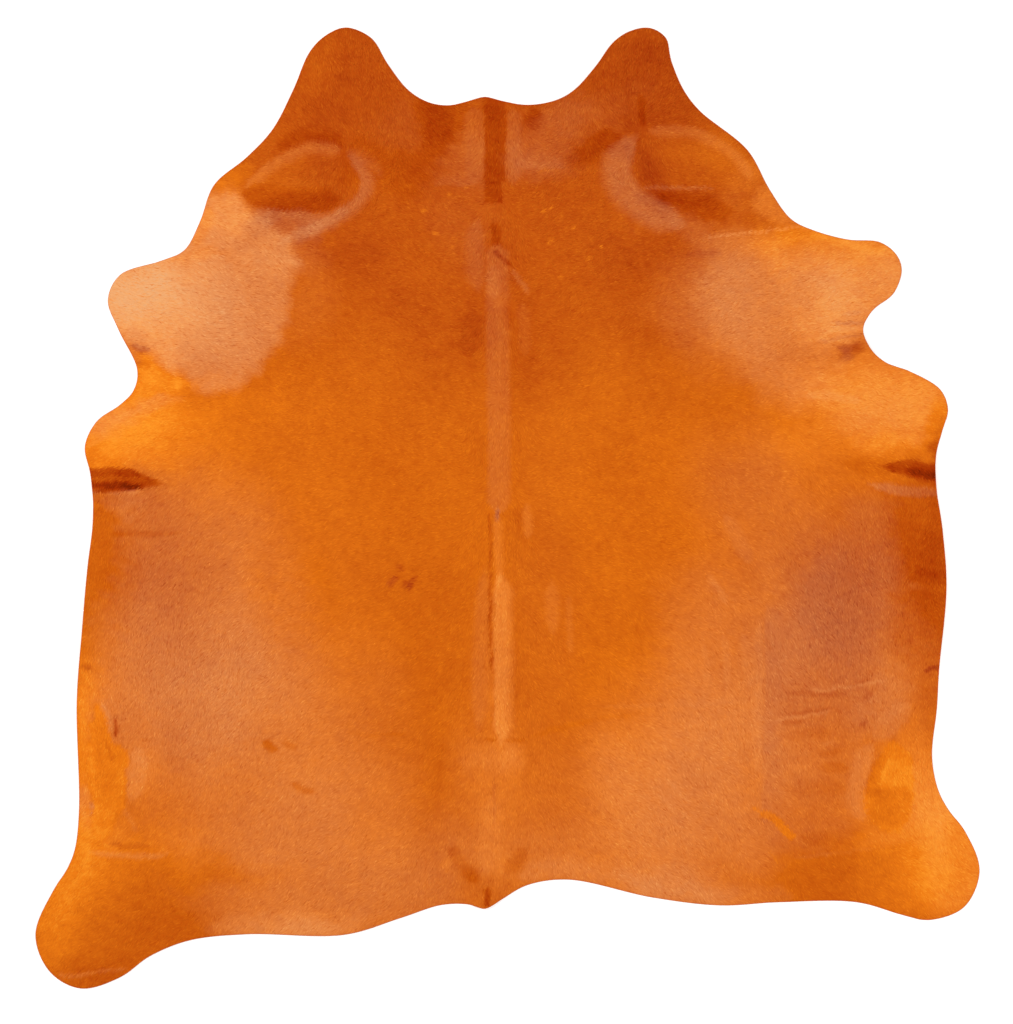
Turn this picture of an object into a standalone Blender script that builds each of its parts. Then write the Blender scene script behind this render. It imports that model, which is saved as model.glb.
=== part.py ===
"""Hair-on cowhide laid flat on a floor: one trimmed skin with soft folds at its flanks.

Metres, +Z up. The neck points to +Y and the tail to -Y, with the spine near X = 0. The hair side faces up, and
the flesh side rests on Z = 0. The origin is at the middle of the bounding box's base.
"""

from typing import NamedTuple

import bpy
import numpy as np
from mathutils.geometry import delaunay_2d_cdt

# Driving dimensions, in metres.
SKIN_THICKNESS = 0.003      # leather with its lying hair
RIM_STEP = 0.018            # spacing of the points round the cut edge
FLAT_STEP = 0.072           # spacing of the points where the skin lies flat
FOLD_STEP = 0.019           # spacing of the points on a fold
RIM_MARGIN = 0.012          # least distance from an inner point to the cut edge
FOLD_REACH = 1.25           # a fold's fine points go this far past its foot

HIDE_COLOUR = (0.60, 0.13, 0.012, 1.0)
HIDE_ROUGHNESS = 0.55


class EdgePoint(NamedTuple):
    """One point of the knife cut, in millimetres: across is +X, along is +Y towards the neck."""

    place: str
    across: float
    along: float


class Fold(NamedTuple):
    """One soft rise in the skin, in millimetres, with its long way turned by heading degrees from +X."""

    place: str
    across: float
    along: float
    heading: float
    half_length: float
    half_width: float
    rise: float


NECK_CUT = (
    EdgePoint("left cheek tip", -363, 1081),
    EdgePoint("left cheek, inner turn", -305, 1056),
    EdgePoint("left cheek, inner side", -272, 1003),
    EdgePoint("neck bay, left turn", -224, 941),
    EdgePoint("neck bay, left", -178, 913),
    EdgePoint("neck bay, left low", -132, 906),
    EdgePoint("nape, left foot", -86, 916),
    EdgePoint("nape point", -51, 925),
    EdgePoint("nape, right foot", -17, 917),
    EdgePoint("neck bay, right low", 42, 907),
    EdgePoint("neck bay, right", 104, 916),
    EdgePoint("neck bay, right turn", 148, 939),
    EdgePoint("right cheek, inner side", 199, 995),
    EdgePoint("right cheek, inner turn", 238, 1048),
    EdgePoint("right cheek, inner top", 276, 1073),
)
RIGHT_CUT = (
    EdgePoint("right cheek tip", 320, 1080),
    EdgePoint("right cheek, outer turn", 356, 1058),
    EdgePoint("right cheek, outer side", 368, 1008),
    EdgePoint("right neck, top", 396, 941),
    EdgePoint("right neck, middle", 432, 894),
    EdgePoint("right neck, foot", 540, 805),
    EdgePoint("right shoulder bend", 590, 716),
    EdgePoint("right armpit bay", 638, 650),
    EdgePoint("right foreleg, root", 688, 625),
    EdgePoint("right foreleg, front", 766, 604),
    EdgePoint("right foreleg, front turn", 838, 598),
    EdgePoint("right foreleg, end front", 874, 571),
    EdgePoint("right foreleg, end", 887, 536),
    EdgePoint("right foreleg, end back", 868, 482),
    EdgePoint("right foreleg, back", 822, 445),
    EdgePoint("right foreleg bay", 800, 402),
    EdgePoint("right flank lobe, root", 818, 356),
    EdgePoint("right flank lobe, rise", 856, 325),
    EdgePoint("right flank lobe, front", 897, 311),
    EdgePoint("right flank lobe, turn", 974, 266),
    EdgePoint("right flank lobe, end", 991, 220),
    EdgePoint("right flank lobe, back", 979, 176),
    EdgePoint("right flank dip", 961, 98),
    EdgePoint("right belly, front", 978, -50),
    EdgePoint("right belly, fullest", 986, -178),
    EdgePoint("right belly, back", 971, -364),
    EdgePoint("right thigh, front", 966, -452),
    EdgePoint("right thigh bay", 955, -560),
    EdgePoint("right hind leg, root", 969, -634),
    EdgePoint("right hind leg, flare", 993, -680),
    EdgePoint("right hind leg, front", 1028, -725),
    EdgePoint("right hind leg, end", 1062, -815),
    EdgePoint("right hind leg, turn", 1028, -897),
)
TAIL_CUT = (
    EdgePoint("right hind leg, corner", 948, -927),
    EdgePoint("right rump, foot", 890, -916),
    EdgePoint("right rump, bend", 786, -887),
    EdgePoint("right rump, outer", 608, -887),
    EdgePoint("right rump, middle", 478, -894),
    EdgePoint("right rump, inner", 325, -876),
    EdgePoint("right rump, crown", 136, -836),
    EdgePoint("tail, right shoulder", 43, -849),
    EdgePoint("tail, right side", -17, -883),
    EdgePoint("tail root", -51, -901),
    EdgePoint("tail, left side", -86, -892),
    EdgePoint("left rump, crown", -148, -893),
    EdgePoint("left rump, inner", -242, -923),
    EdgePoint("left rump, bend", -366, -960),
    EdgePoint("left rump, outer", -588, -959),
    EdgePoint("left hind leg, back root", -716, -973),
    EdgePoint("left hind leg, back", -804, -1008),
    EdgePoint("left hind leg, back turn", -872, -1056),
)
LEFT_CUT = (
    EdgePoint("left hind leg, corner", -960, -1081),
    EdgePoint("left hind leg, end turn", -1029, -1044),
    EdgePoint("left hind leg, end", -1062, -960),
    EdgePoint("left hind leg, front", -1021, -859),
    EdgePoint("left hind leg, flare", -992, -814),
    EdgePoint("left hind leg, root", -974, -770),
    EdgePoint("left thigh bay", -964, -680),
    EdgePoint("left belly, back", -969, -432),
    EdgePoint("left belly, middle", -956, -275),
    EdgePoint("left belly, front bend", -944, -130),
    EdgePoint("left belly, front", -933, -28),
    EdgePoint("left flank dip", -936, 74),
    EdgePoint("left flank lobe, back", -951, 137),
    EdgePoint("left flank lobe, end", -924, 195),
    EdgePoint("left flank lobe, rise", -872, 232),
    EdgePoint("left flank lobe, front", -841, 265),
    EdgePoint("left foreleg bay", -833, 311),
    EdgePoint("left foreleg, back", -875, 401),
    EdgePoint("left foreleg, end", -899, 468),
    EdgePoint("left foreleg, end front", -872, 524),
    EdgePoint("left foreleg, front", -777, 557),
    EdgePoint("left foreleg, root", -727, 580),
    EdgePoint("left armpit bay", -692, 644),
    EdgePoint("left shoulder bend", -660, 727),
    EdgePoint("left neck, foot", -588, 788),
    EdgePoint("left neck, middle", -529, 851),
    EdgePoint("left neck, top", -482, 941),
    EdgePoint("left cheek, outer side", -445, 1026),
    EdgePoint("left cheek, outer turn", -409, 1063),
)
KNIFE_CUT = NECK_CUT + RIGHT_CUT + TAIL_CUT + LEFT_CUT

FOLDS = (
    Fold("left flank", -900, 72, 4, 190, 62, 14),
    Fold("right flank", 925, 84, -4, 190, 62, 14),
    Fold("left belly edge", -958, -240, 92, 210, 60, 9),
    Fold("right belly edge", 978, -165, 90, 230, 70, 10),
    Fold("left thigh pocket", -885, -600, 96, 200, 80, 10),
    Fold("right thigh pocket", 880, -655, 74, 190, 85, 11),
    Fold("right foreleg root", 790, 362, 8, 95, 45, 7),
    Fold("tail root", -48, -885, 90, 90, 48, 6),
)

MILLIMETRE = 0.001


def clear_scene():
    """Remove every object, so that the hide is alone."""
    for item in list(bpy.data.objects):
        bpy.data.objects.remove(item, do_unlink=True)


def knife_cut(step):
    """Closed smooth curve through the edge points, in metres, with a point about every step.

    Each stretch is a cubic Hermite arc. Its parameter grows with the square root of the chord, and its slope at
    an edge point is the mean of the two chords' slopes, each weighted by the other chord's parameter length.
    """
    point = np.array([(row.across, row.along) for row in KNIFE_CUT]) * MILLIMETRE
    chord = np.roll(point, -1, axis=0) - point
    length = np.hypot(chord[:, 0], chord[:, 1])
    span = np.sqrt(length)[:, None]
    span_before = np.roll(span, 1, axis=0)
    slope = chord / span
    slope_before = np.roll(slope, 1, axis=0)
    tangent = (slope_before * span + slope * span_before) / (span + span_before)

    arcs = []
    for start, size in enumerate(length):
        end = (start + 1) % len(point)
        count = max(1, round(size / step))
        t = (np.arange(count) / count)[:, None]
        arcs.append(
            (1 + 2 * t) * (1 - t) ** 2 * point[start]
            + t * (1 - t) ** 2 * span[start] * tangent[start]
            + t ** 2 * (3 - 2 * t) * point[end]
            + t ** 2 * (t - 1) * span[start] * tangent[end]
        )
    loop = np.concatenate(arcs)
    return loop - (loop.min(axis=0) + loop.max(axis=0)) / 2


def fold_radius(fold, points):
    """Distance of each point from a fold's middle, where 1 is the foot of the fold's ellipse."""
    middle = np.array((fold.across, fold.along)) * MILLIMETRE
    turn = np.radians(fold.heading)
    offset = points - middle
    lengthwise = offset[:, 0] * np.cos(turn) + offset[:, 1] * np.sin(turn)
    sideways = offset[:, 1] * np.cos(turn) - offset[:, 0] * np.sin(turn)
    return np.hypot(
        lengthwise / (fold.half_length * MILLIMETRE), sideways / (fold.half_width * MILLIMETRE)
    )


def skin_rise(points):
    """Height of the skin's underside: the sum of the folds, each rise * (1 - radius squared) squared."""
    height = np.zeros(len(points))
    for fold in FOLDS:
        inside = np.clip(1 - fold_radius(fold, points) ** 2, 0, None)
        height += fold.rise * MILLIMETRE * inside ** 2
    return height


def lattice(step):
    """Points of a triangular lattice over the hide's box, step apart."""
    reach = 1.2
    row_step = step * np.sqrt(3) / 2
    rows = np.arange(-reach, reach, row_step)
    across = np.arange(-reach, reach, step)
    x, y = np.meshgrid(across, rows)
    x = x + step / 2 * (np.arange(len(rows)) % 2)[:, None]
    return np.column_stack((x.ravel(), y.ravel()))


def inner_points(rim):
    """Lattice points inside the cut: fine ones on the folds, wide ones where the skin lies flat."""
    fine = lattice(FOLD_STEP)
    wide = lattice(FLAT_STEP)
    on_fold = np.min([fold_radius(fold, fine) for fold in FOLDS], axis=0) < FOLD_REACH
    off_fold = np.min([fold_radius(fold, wide) for fold in FOLDS], axis=0) >= FOLD_REACH
    points = np.concatenate((fine[on_fold], wide[off_fold]))

    rim_angle = np.arctan2(rim[:, 1], rim[:, 0])
    order = np.argsort(rim_angle)
    rim_radius = np.hypot(rim[:, 0], rim[:, 1])[order]
    cut_radius = np.interp(
        np.arctan2(points[:, 1], points[:, 0]), rim_angle[order], rim_radius, period=2 * np.pi
    )
    points = points[np.hypot(points[:, 0], points[:, 1]) < cut_radius]
    gap = np.linalg.norm(points[:, None, :] - rim[None, :, :], axis=2).min(axis=1)
    return points[gap > RIM_MARGIN]


def hide_material():
    """Dyed hair, warm orange brown, with a soft sheen."""
    material = bpy.data.materials.new("dyed_hair_on_leather")
    material.use_nodes = True
    shader = material.node_tree.nodes["Principled BSDF"]
    shader.inputs["Base Color"].default_value = HIDE_COLOUR
    shader.inputs["Roughness"].default_value = HIDE_ROUGHNESS
    shader.inputs["Metallic"].default_value = 0.0
    return material


def build_hide():
    """The skin: its underside triangulated inside the cut, lifted by the folds, then given its thickness."""
    rim = knife_cut(RIM_STEP)
    flat = np.concatenate((rim, inner_points(rim)))
    outline = [list(range(len(rim)))[::-1]]
    inside_outline = 1
    vertices, _, triangles, *_ = delaunay_2d_cdt(flat.tolist(), [], outline, inside_outline, 1e-6)
    plan = np.array([(vertex.x, vertex.y) for vertex in vertices])
    underside = np.column_stack((plan, skin_rise(plan)))

    mesh = bpy.data.meshes.new("hide")
    mesh.from_pydata(underside.tolist(), [], [list(triangle) for triangle in triangles])
    mesh.shade_smooth()
    mesh.materials.append(hide_material())
    hide = bpy.data.objects.new("hide", mesh)
    bpy.context.scene.collection.objects.link(hide)

    skin = hide.modifiers.new("skin_thickness", "SOLIDIFY")
    skin.thickness = SKIN_THICKNESS
    skin.offset = 1.0
    skin.use_rim = True
    return hide


clear_scene()
build_hide()
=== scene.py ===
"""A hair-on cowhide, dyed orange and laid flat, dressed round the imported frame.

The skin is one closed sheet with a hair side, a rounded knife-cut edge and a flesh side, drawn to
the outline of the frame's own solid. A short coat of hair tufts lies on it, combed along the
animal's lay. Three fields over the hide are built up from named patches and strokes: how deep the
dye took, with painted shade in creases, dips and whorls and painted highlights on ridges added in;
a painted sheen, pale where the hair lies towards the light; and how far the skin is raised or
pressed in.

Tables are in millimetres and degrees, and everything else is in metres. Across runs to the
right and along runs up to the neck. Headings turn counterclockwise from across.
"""

import logging
import math
from dataclasses import dataclass
from enum import Enum
from typing import ClassVar

import bpy
import numpy as np
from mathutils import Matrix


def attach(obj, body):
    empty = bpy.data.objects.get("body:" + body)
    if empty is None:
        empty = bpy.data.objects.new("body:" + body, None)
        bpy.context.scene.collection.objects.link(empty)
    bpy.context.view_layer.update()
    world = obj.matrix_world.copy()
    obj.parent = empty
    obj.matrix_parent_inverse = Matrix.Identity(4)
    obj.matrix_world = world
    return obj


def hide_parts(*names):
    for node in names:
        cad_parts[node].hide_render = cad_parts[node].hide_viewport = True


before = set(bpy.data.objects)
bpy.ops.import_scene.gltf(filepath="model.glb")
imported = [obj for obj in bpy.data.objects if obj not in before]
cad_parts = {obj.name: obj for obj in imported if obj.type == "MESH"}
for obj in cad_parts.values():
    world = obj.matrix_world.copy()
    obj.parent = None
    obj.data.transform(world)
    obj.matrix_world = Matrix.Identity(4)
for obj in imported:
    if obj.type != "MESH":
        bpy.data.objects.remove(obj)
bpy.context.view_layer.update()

LOG = logging.getLogger("cowhide")
BODY = "root"
NODE = "hide"
MM = 0.001
SPINE_ACROSS = -17.0        # in millimetres
RIM_WIDTH = 0.012           # how far in from the cut the dye is deeper


class Slot(Enum):
    """Material slots of the record."""

    HAIR_ON_LEATHER = "hair_on_leather"


class Side(Enum):
    """Sides of the skin, in the order of its material slots."""

    HAIR = 0
    CUT = 1
    FLESH = 2


# ---------------------------------------------------------------- curves and fields


def smooth_step(share: np.ndarray) -> np.ndarray:
    """Eases 0 to 1: three times the square of the clipped share, less twice its cube."""
    held = np.clip(share, 0.0, 1.0)
    return held * held * (3.0 - 2.0 * held)


def smooth_path(points: np.ndarray, steps: int = 6, closed: bool = False) -> np.ndarray:
    """Runs a smooth curve through a few points.

    On each leg it is a cubic in the share walked, whose slope at a point is half the vector from
    the point before to the point after.

    Args:
        points: Places across and along, one row each.
        steps: Short runs that each leg is cut into.
        closed: Whether the last point is the first one again, passed without a corner.

    Returns:
        Places on the curve, one row each, ends included.
    """
    first = points[-2] if closed else 2 * points[0] - points[1]
    last = points[1] if closed else 2 * points[-1] - points[-2]
    padded = np.vstack([first, points, last])
    before, start, end, after = (padded[shift:len(points) - 1 + shift] for shift in range(4))
    share = (np.arange(steps) / steps)[None, :, None]
    before, start, end, after = (ends[:, None, :] for ends in (before, start, end, after))
    slope_in, slope_out = (end - before) / 2, (after - start) / 2
    curve = ((2 * share**3 - 3 * share**2 + 1) * start + (share**3 - 2 * share**2 + share) * slope_in
             + (3 * share**2 - 2 * share**3) * end + (share**3 - share**2) * slope_out)
    return np.vstack([curve.reshape(-1, 2), points[-1:]])


def ripples(across: np.ndarray, along: np.ndarray, size: float, seed: int) -> np.ndarray:
    """Wanders evenly over the hide, with a spread of about one.

    It adds up sine waves of seeded headings and phases, each about one size long, and divides by
    the root of half their count.

    Args:
        across: Places across, in metres.
        along: Places along, in metres.
        size: Length of a wave, in metres.
        seed: Seed of the headings and phases.

    Returns:
        The wander at each place.
    """
    waves = 8
    rng = np.random.default_rng(seed)
    turns = rng.uniform(0.0, math.tau, waves)
    lengths = size * rng.uniform(0.7, 1.4, waves)
    phases = rng.uniform(0.0, math.tau, waves)
    total = np.zeros_like(across)
    for turn, length, phase in zip(turns, lengths, phases):
        walk = across * math.cos(turn) + along * math.sin(turn)
        total += np.sin(walk * math.tau / length + phase)
    return total / math.sqrt(waves / 2)


@dataclass(frozen=True)
class Wander:
    """A ripple that carries places astray, in metres, with a seed for each way."""

    strength: float
    size: float
    across_seed: int
    along_seed: int


def astray(across: np.ndarray, along: np.ndarray,
           wanders: tuple[Wander, ...]) -> tuple[np.ndarray, np.ndarray]:
    """Moves places by the sum of some wanders, each its strength times its ripple.

    Args:
        across: Places across, in metres.
        along: Places along, in metres.
        wanders: What carries the places astray.

    Returns:
        The moved places, across and along.
    """
    east, north = across, along
    for wander in wanders:
        east = east + wander.strength * ripples(across, along, wander.size, wander.across_seed)
        north = north + wander.strength * ripples(across, along, wander.size, wander.along_seed)
    return east, north


def turned_offset(row: "Fold | Patch", across: np.ndarray,
                  along: np.ndarray) -> tuple[np.ndarray, np.ndarray]:
    """Measures places from the middle of an oval, turned by its heading.

    Args:
        row: The oval, with its middle and heading.
        across: Places across, in metres.
        along: Places along, in metres.

    Returns:
        Lengthwise and sideways offsets, in half lengths and half widths of the oval.
    """
    turn = math.radians(row.heading)
    east, north = across - row.across * MM, along - row.along * MM
    lengthwise = east * math.cos(turn) + north * math.sin(turn)
    sideways = north * math.cos(turn) - east * math.sin(turn)
    return lengthwise / (row.half_length * MM), sideways / (row.half_width * MM)


@dataclass(frozen=True)
class Fold:
    """An oval where the whole skin stands off the floor, in millimetres and degrees."""

    place: str
    across: float
    along: float
    heading: float
    half_length: float
    half_width: float
    rise: float

    def lift(self, across: np.ndarray, along: np.ndarray) -> np.ndarray:
        """Rise times the square of one less the squared radius in the oval, and nothing outside.

        Args:
            across: Places across, in metres.
            along: Places along, in metres.

        Returns:
            How far the fold lifts the skin at each place, in metres.
        """
        lengthwise, sideways = turned_offset(self, across, along)
        inside = np.clip(1.0 - lengthwise**2 - sideways**2, 0.0, None)
        return self.rise * MM * inside**2


Path = tuple[tuple[float, float], ...]
Extent = tuple[Path, float]


class Mark:
    """What patches, areas and strokes share: each is read only at the places it can reach."""

    def extent(self) -> Extent:
        """The places that the mark is made on, and how far it reaches from them."""
        raise NotImplementedError

    def near(self, across: np.ndarray, along: np.ndarray) -> np.ndarray:
        """Finds the places in the upright box round the mark's extent.

        Args:
            across: Places across, in metres.
            along: Places along, in metres.

        Returns:
            Numbers of the places to read.
        """
        made_on, reach = self.extent()
        low = (np.min(made_on, axis=0) - reach) * MM
        high = (np.max(made_on, axis=0) + reach) * MM
        held = (across > low[0]) & (across < high[0]) & (along > low[1]) & (along < high[1])
        return np.flatnonzero(held)


@dataclass(frozen=True)
class Patch(Mark):
    """A soft-edged oval of the coat, in millimetres and degrees.

    Its edge is the share of its size over which it fades, half inside and half outside.
    """

    place: str
    across: float
    along: float
    half_length: float
    half_width: float
    heading: float
    edge: float
    # The next fields are the depth of dye with painted shade and painted highlights in it, a painted
    # sheen and the lift.
    dye_and_shading: float
    painted_sheen: float = 0.0
    lift: float = 0.0

    def extent(self) -> Extent:
        """The oval's middle, reached to its longer half and edge on every side."""
        return ((self.across, self.along),), max(self.half_length, self.half_width) * (1.0 + self.edge)

    def mask(self, across: np.ndarray, along: np.ndarray) -> np.ndarray:
        """One inside the oval's edge and nothing outside it, eased from one to the other.

        Args:
            across: Places across, in metres.
            along: Places along, in metres.

        Returns:
            The share of the patch at each place.
        """
        lengthwise, sideways = turned_offset(self, across, along)
        radius = np.hypot(lengthwise, sideways)
        return 1.0 - smooth_step((radius - 1.0 + self.edge) / (2.0 * self.edge))


def measured(knots: np.ndarray, across: np.ndarray, along: np.ndarray) -> tuple[np.ndarray, ...]:
    """Measures places to the nearest leg of a path.

    Args:
        knots: Places on the path, one row each, in metres.
        across: Places across, in metres.
        along: Places along, in metres.

    Returns:
        How far off the path each place is, a number above zero on the path's left, and how far
        along the path the nearest point is.
    """
    legs = np.diff(knots, axis=0)
    lengths = np.hypot(legs[:, 0], legs[:, 1])
    starts = np.concatenate([[0.0], np.cumsum(lengths)])
    gap = np.full(across.shape, np.inf)
    side = np.zeros(across.shape)
    walk = np.zeros(across.shape)
    for knot, leg, length, start in zip(knots, legs, lengths, starts):
        east, north = across - knot[0], along - knot[1]
        share = np.clip((east * leg[0] + north * leg[1]) / length**2, 0.0, 1.0)
        off_east, off_north = east - share * leg[0], north - share * leg[1]
        off = np.hypot(off_east, off_north)
        nearer = off < gap
        gap = np.where(nearer, off, gap)
        side = np.where(nearer, leg[0] * off_north - leg[1] * off_east, side)
        walk = np.where(nearer, start + share * length, walk)
    return gap, side, walk


@dataclass(frozen=True)
class Area(Mark):
    """A part of the coat inside a closed path, counterclockwise, in millimetres.

    Fade is the width of its edge, half inside and half outside.
    """

    place: str
    path: Path
    fade: float
    # The next fields are the depth of dye with painted shade and painted highlights in it, a painted
    # sheen and the lift.
    dye_and_shading: float
    painted_sheen: float = 0.0
    lift: float = 0.0

    def extent(self) -> Extent:
        """The path, reached to twice the fade."""
        return self.path, 2.0 * self.fade

    def mask(self, across: np.ndarray, along: np.ndarray) -> np.ndarray:
        """One left of the smooth closed path and nothing right of it, eased over the fade.

        Args:
            across: Places across, in metres.
            along: Places along, in metres.

        Returns:
            The share of the area at each place.
        """
        corners = np.array(self.path, float) * MM
        border = smooth_path(np.vstack([corners, corners[:1]]), closed=True)
        gap, side, _ = measured(border, across, along)
        return smooth_step(0.5 + np.sign(side) * gap / (self.fade * MM))


@dataclass(frozen=True)
class Stroke(Mark):
    """A stripe, crease or mark along a path, in millimetres.

    Core is half the width of its full part. Left and right are the widths over which it fades,
    seen walking along the path, and ends is the length over which it starts and stops. Tip fade
    is the share of the fades that is left at a tip.
    """

    place: str
    path: Path
    core: float
    left: float
    right: float
    ends: float
    # The next fields are the depth of dye with painted shade and painted highlights in it, a painted
    # sheen and the lift.
    dye_and_shading: float
    painted_sheen: float = 0.0
    lift: float = 0.0
    tip_fade: ClassVar[float] = 0.3

    def extent(self) -> Extent:
        """The path, reached to twice the core and the wider fade."""
        return self.path, 2.0 * (self.core + max(self.left, self.right))

    def mask(self, across: np.ndarray, along: np.ndarray) -> np.ndarray:
        """Fades from one on the smooth path to nothing at its sides and ends.

        The length walked from the nearer end, eased over the ends, thins the core and the fades
        towards a point, and the distance past the core is eased over the fade of that side.

        Args:
            across: Places across, in metres.
            along: Places along, in metres.

        Returns:
            The share of the stroke at each place.
        """
        knots = smooth_path(np.array(self.path, float) * MM)
        gap, side, walk = measured(knots, across, along)
        length = np.sum(np.hypot(*np.diff(knots, axis=0).T))
        walked = np.minimum(walk, length - walk) / (self.ends * MM)
        full = smooth_step(walked)
        thinned = self.tip_fade + (1.0 - self.tip_fade) * full
        fade = np.where(side > 0.0, self.left, self.right) * MM * thinned
        return (1.0 - smooth_step((gap - self.core * MM * full) / fade)) * smooth_step(2.0 * walked)


# Columns: place, across, along, heading, half length, half width, rise.
FOLDS = (
    Fold("left flank", -900, 72, 4, 190, 62, 14),
    Fold("right flank", 925, 84, -4, 190, 62, 14),
    Fold("left belly edge", -958, -240, 92, 210, 60, 9),
    Fold("right belly edge", 978, -165, 90, 230, 70, 10),
    Fold("left thigh pocket", -885, -600, 96, 200, 80, 10),
    Fold("right thigh pocket", 880, -655, 74, 190, 85, 11),
    Fold("right foreleg root", 790, 362, 8, 95, 45, 7),
    Fold("tail root", -48, -885, 90, 90, 48, 6),
)

# Columns: place, path, fade, dye with painted shade and highlights, and where there is any, painted
# sheen and lift.
AREAS = tuple(Area(*row) for row in (
    ("left shoulder", ((-701, 268), (-620, 268), (-582, 297), (-541, 338), (-510, 387), (-496, 454),
     (-483, 522), (-471, 562), (-489, 594), (-512, 623), (-552, 662), (-588, 673), (-609, 700),
     (-642, 709), (-692, 698), (-719, 626), (-804, 590), (-935, 554), (-944, 423), (-872, 392),
     (-804, 351), (-768, 320), (-735, 302)), 38, -0.11, 0.27),
    ("right shoulder", ((442, 540), (438, 457), (478, 378), (546, 302), (602, 248), (658, 238),
     (726, 270), (753, 367), (771, 468), (726, 554), (602, 590), (512, 594)), 104, -0.12, 0.2),
    ("right flank, dark", ((775, 29), (759, -38), (703, -117), (658, -166), (649, -220), (586, -243),
     (577, -320), (577, -432), (570, -567), (577, -724), (658, -765), (771, -742), (798, -634),
     (807, -533), (825, -432), (847, -297), (867, -184), (883, -27), (894, 18)), 76, 0.07, 0.07),
    ("right thigh pocket", ((867, -522), (843, -549), (820, -594), (807, -641), (809, -684),
     (838, -720), (879, -720), (903, -686), (915, -646), (906, -590), (892, -544)), 11, -0.08, -0.16,
     -1),
    ("right pocket, floor", ((838, -630), (825, -662), (820, -693), (847, -718), (879, -716),
     (903, -684), (912, -639), (879, -630)), 18, 0.16, -0.02),
    ("left thigh pocket", ((-921, -436), (-939, -522), (-935, -657), (-921, -742), (-894, -716),
     (-863, -664), (-854, -601), (-858, -549), (-885, -526), (-899, -472)), 11, -0.12, -0.16, -1),
    ("right armpit", ((586, 727), (564, 702), (550, 680), (564, 659), (602, 644), (658, 632),
     (699, 634), (654, 682), (613, 720)), 29, -0.2, 0.07),
))
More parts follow.
